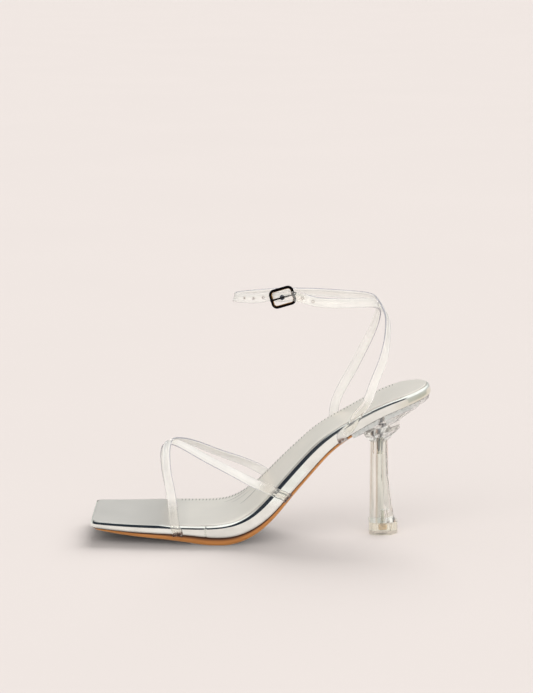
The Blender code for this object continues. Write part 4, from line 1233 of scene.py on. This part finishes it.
def makeAnkleStraps():
    gap = shoe["gap"]
    eyeMiddle = hingeBar - buckleUp * buckle["eyeDrop"]
    full = (strap["width"], strap["thickness"])
    baseFree = freeRows(innerToBuckle, strap["ankleWidth"], strap["ankleHeight"])
    base = landingRows("innerHeel", breastX, 1) + baseFree
    base.append((eyeMiddle + buckleLevel * buckle["eyeWall"] / 2.0, buckleOut,
                 buckle["eyeWidth"], strap["thickness"]))
    over = landingRows("outerHeel", breastX, -1)
    over += freeRows(outerToBuckle, strap["ankleWidth"], strap["ankleHeight"])
    inside = buckle["wire"] + gap + strap["thickness"] / 2.0
    outside = prongRing + buckle["prong"] + gap + strap["thickness"] / 2.0
    far = buckleMiddle - buckleLevel * buckle["length"] / 2.0
    hinge = buckleMiddle + buckleLevel * buckle["length"] / 2.0
    over.append((far - buckleOut * inside, buckleOut, *full))
    over.append((buckleMiddle + buckleOut * (outside - inside) / 2.0, buckleOut, *full))
    over.append((hinge + buckleOut * outside + buckleUp * buckle["bandRise"], buckleOut, *full))
    for place, face, width, thickness in reversed(baseFree[-buckle["freeEndRows"]:]):
        over.append((place + face * (strap["thickness"] + gap), face, width, thickness))
    overFrames = strapFrames(over, strap["spacing"])
    made = sweepStrap("ankleStraps", overFrames)
    other = sweepStrap("ankleBase", strapFrames(base, strap["spacing"]))
    joinSolid(made, other)
    joinSolid(made, holePunch(overFrames), "DIFFERENCE")
    finishStrap(made)
    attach(made, "root")
    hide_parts("ankle_straps")


makeAnkleStraps()
print("ankle straps made")


def metalMaterial(name, colour, roughness):
    material, tree, surface = newMaterial(name)
    surface.inputs["Base Color"].default_value = (*colour, 1.0)
    surface.inputs["Metallic"].default_value = 1.0
    wear = objectNoise(tree, 900.0, 4.0)
    rough = spreadValue(tree, wear, roughness, roughness + 0.2)
    tree.links.new(rough, surface.inputs["Roughness"])
    addBump(tree, surface, [(wear, 0.15, 0.00004)])
    return material


# the frame's wire, rounder and a little thicker than the CAD's, with gilt worn through inside
def makeBuckleFrame():
    sides = 16
    corner = buckle["corner"]
    halfLong = buckle["length"] / 2.0 - corner
    halfHigh = buckle["height"] / 2.0 - corner
    points = []
    faces = []
    inward = []
    loops = []
    for quarter, (cx, cy) in enumerate(((1, 1), (-1, 1), (-1, -1), (1, -1))):
        for turn in np.radians(np.linspace(90.0 * quarter, 90.0 * quarter + 90.0, 9)):
            way = buckleAlong * math.cos(turn) + buckleUp * math.sin(turn)
            middle = buckleMiddle + buckleAlong * (cx * halfLong) + buckleUp * (cy * halfHigh)
            middle = middle + way * corner
            wire = buckle["frameWire"]
            loops.append(addRing(points, middle, way * wire, buckleOut * wire, sides))
            inward += [-math.cos(2.0 * math.pi * k / sides) for k in range(sides)]
    for before, after in zip(loops, loops[1:] + loops[:1]):
        bridge(faces, before, after)
    made = buildMesh("buckleFrameWire", points, faces)
    pointValues(made, "inward", inward)
    material, tree, surface = newMaterial("blackAndGilt")
    wear = objectNoise(tree, 700.0, 3.0)
    share = addNode(tree, "ShaderNodeMath", {"operation": "MULTIPLY_ADD"})
    tree.links.new(wear, share.inputs[0])
    share.inputs[1].default_value = 0.5
    tree.links.new(pointShare(tree, "inward"), share.inputs[2])
    base = colourRamp(tree, share.outputs["Value"], [
        (0.80, buckle["black"]), (0.93, buckle["worn"]), (1.0, buckle["gilt"])])
    tree.links.new(base, surface.inputs["Base Color"])
    surface.inputs["Metallic"].default_value = 1.0
    rough = spreadValue(tree, wear, 0.15, 0.35)
    tree.links.new(rough, surface.inputs["Roughness"])
    addBump(tree, surface, [(wear, 0.15, 0.00005)])
    made.data.materials.append(material)
    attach(made, "root")
    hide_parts("buckle_frame")


# a metal eyelet in the band, where the prong goes through
def makeEyelet():
    points = []
    faces = []
    loops = []
    ringTurns = 28
    sides = 10
    front = buckleMiddle + buckleOut * (prongRing - 0.6 * buckle["prong"])
    for i in range(ringTurns):
        turn = 2.0 * math.pi * i / ringTurns
        way = buckleAlong * math.cos(turn) + buckleUp * math.sin(turn)
        wire = buckle["eyeletWire"]
        middle = front + way * buckle["eyelet"]
        loops.append(addRing(points, middle, way * (1.5 * wire), buckleOut * wire, sides))
    for before, after in zip(loops, loops[1:] + loops[:1]):
        bridge(faces, before, after)
    made = buildMesh("eyelet", points, faces)
    made.data.materials.append(metalMaterial("eyeletSteel", buckle["eyeletSteel"], 0.15))
    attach(made, "root")


makeBuckleFrame()
makeEyelet()
print("buckle frame made")

for name, colour, roughness, node in (
    ("blackMetal", (0.012, 0.012, 0.014), 0.18, "buckle_prong"),
    ("screwSteel", (0.28, 0.30, 0.34), 0.25, "heel_screw"),
    ("pinBrass", (0.62, 0.40, 0.14), 0.25, "cap_dowel"),
):
    wearOnly(frame["nodes"][node], metalMaterial(name, colour, roughness))

# the pin is brass only inside the cap; above it a bright sleeve hardly shows in the clear heel
capPin = {"brass": (0.62, 0.40, 0.14), "sleeve": (0.95, 0.94, 0.91), "sleeveFrom": (0.0066, 0.0074)}


def makePinSleeve():
    tree = frame["nodes"]["cap_dowel"].data.materials[0].node_tree
    up = smoothBand(tree, objectAxes(tree).outputs["Z"], *capPin["sleeveFrom"])
    tint = mixColours(tree, up, capPin["brass"], capPin["sleeve"])
    tree.links.new(tint, tree.nodes["Principled BSDF"].inputs["Base Color"])


makePinSleeve()
print("metal parts finished")

# floor and light
studio = {
    "floor": (0.6165, 0.565, 0.538),
    "floorSize": 60.0,
    "sky": (1.12, 1.11, 1.08),
    "low": (0.93, 0.90, 0.86),          # a pale table in front, up to about 8 degrees
    "back": (0.60, 0.60, 0.575),         # low in the distance behind the shoe
    "dark": (0.028, 0.034, 0.046),       # the dark of the room above the table
    "lowTop": (0.13, 0.21),             # heights (sine) over which low turns to dark
    "darkTopFront": (0.54, 0.74),       # and dark to sky, in front
    "darkTopToe": (0.68, 0.90),         # and at the toe side
    "toeSide": (-0.15, -0.65),          # where the toe side starts and is full, along X
    "heelSide": (0.30, 0.60),
    "farSide": (0.35, 0.75),            # and the far side, along Y
    "backTop": (0.15, 0.60),            # heights over which back turns to sky
    "softStrength": 0.50,               # what lights rough surfaces
    "topLight": {"elevation": 37.0, "azimuth": 68.0, "angle": 50.0, "power": 3.45},
    "frontLight": {"elevation": 20.0, "azimuth": -95.0, "angle": 100.0, "power": 1.9},
}


def makeFloor():
    size = studio["floorSize"]
    mesh = bpy.data.meshes.new("floor")
    mesh.from_pydata([(-size, -size, 0.0), (size, -size, 0.0), (size, size, 0.0), (-size, size, 0.0)],
                     [], [(0, 1, 2, 3)])
    made = bpy.data.objects.new("floor", mesh)
    bpy.context.scene.collection.objects.link(made)
    material, tree, surface = newMaterial("paleFloor")
    cloud = objectNoise(tree, 3.0, 2.0)
    base = colourRamp(tree, cloud, [
        (0.3, studio["floor"]), (0.7, tuple(c * 1.01 for c in studio["floor"]))])
    tree.links.new(base, surface.inputs["Base Color"])
    surface.inputs["Roughness"].default_value = 1.0
    surface.inputs["Specular IOR Level"].default_value = 0.0
    made.data.materials.append(material)


def makeSky():
    world = bpy.data.worlds.new("studio")
    bpy.context.scene.world = world
    world.use_nodes = True
    tree = world.node_tree
    back = tree.nodes["Background"]
    place = addNode(tree, "ShaderNodeTexCoord")
    split = addNode(tree, "ShaderNodeSeparateXYZ")
    tree.links.new(place.outputs["Generated"], split.inputs["Vector"])
    toeSide = smoothBand(tree, split.outputs["X"], *studio["toeSide"])
    skyFrom = spreadValue(tree, toeSide, studio["darkTopFront"][0], studio["darkTopToe"][0])
    skyTo = spreadValue(tree, toeSide, studio["darkTopFront"][1], studio["darkTopToe"][1])
    table = smoothBand(tree, split.outputs["Z"], *studio["lowTop"])
    rise = smoothBand(tree, split.outputs["Z"], skyFrom, skyTo)
    room = mixColours(tree, table, studio["low"], studio["dark"])
    front = mixColours(tree, rise, room, studio["sky"])
    behind = smoothBand(tree, split.outputs["Z"], *studio["backTop"])
    far = mixColours(tree, behind, studio["back"], studio["sky"])
    side = smoothBand(tree, split.outputs["Y"], *studio["farSide"])
    heelSide = smoothBand(tree, split.outputs["X"], *studio["heelSide"])
    bright = joinValues(tree, "MAXIMUM", side, heelSide)
    around = mixColours(tree, bright, front, far)
    rays = addNode(tree, "ShaderNodeLightPath")
    level = studio["softStrength"]
    seen = mixColours(tree, rays.outputs["Is Diffuse Ray"], around, (level, level, level))
    tree.links.new(seen, back.inputs["Color"])


# clear straps would burn out in a direct light from the far side, so it passes them by
def passStraps(lamp):
    listed = bpy.data.collections.new(lamp.name + "Straps")
    for made in bpy.context.scene.objects:
        if made.name in ("frontStraps", "ankleStraps"):
            listed.objects.link(made)
    lamp.light_linking.receiver_collection = listed
    for entry in listed.collection_objects:
        entry.light_linking.link_state = "EXCLUDE"


def makeSun(name, values):
    light = bpy.data.lights.new(name, "SUN")
    light.angle = math.radians(values["angle"])
    light.energy = values["power"]
    lamp = bpy.data.objects.new(name, light)
    up = math.radians(values["elevation"])
    turn = math.radians(values["azimuth"])
    toLight = Vector((math.cos(turn) * math.cos(up), math.sin(turn) * math.cos(up), math.sin(up)))
    lamp.rotation_euler = toLight.to_track_quat("Z", "Y").to_euler()
    lamp.visible_glossy = False
    lamp.visible_transmission = False
    bpy.context.scene.collection.objects.link(lamp)
    return lamp


makeFloor()
makeSky()
passStraps(makeSun("topLight", studio["topLight"]))
makeSun("frontLight", studio["frontLight"])
print("floor and light made")
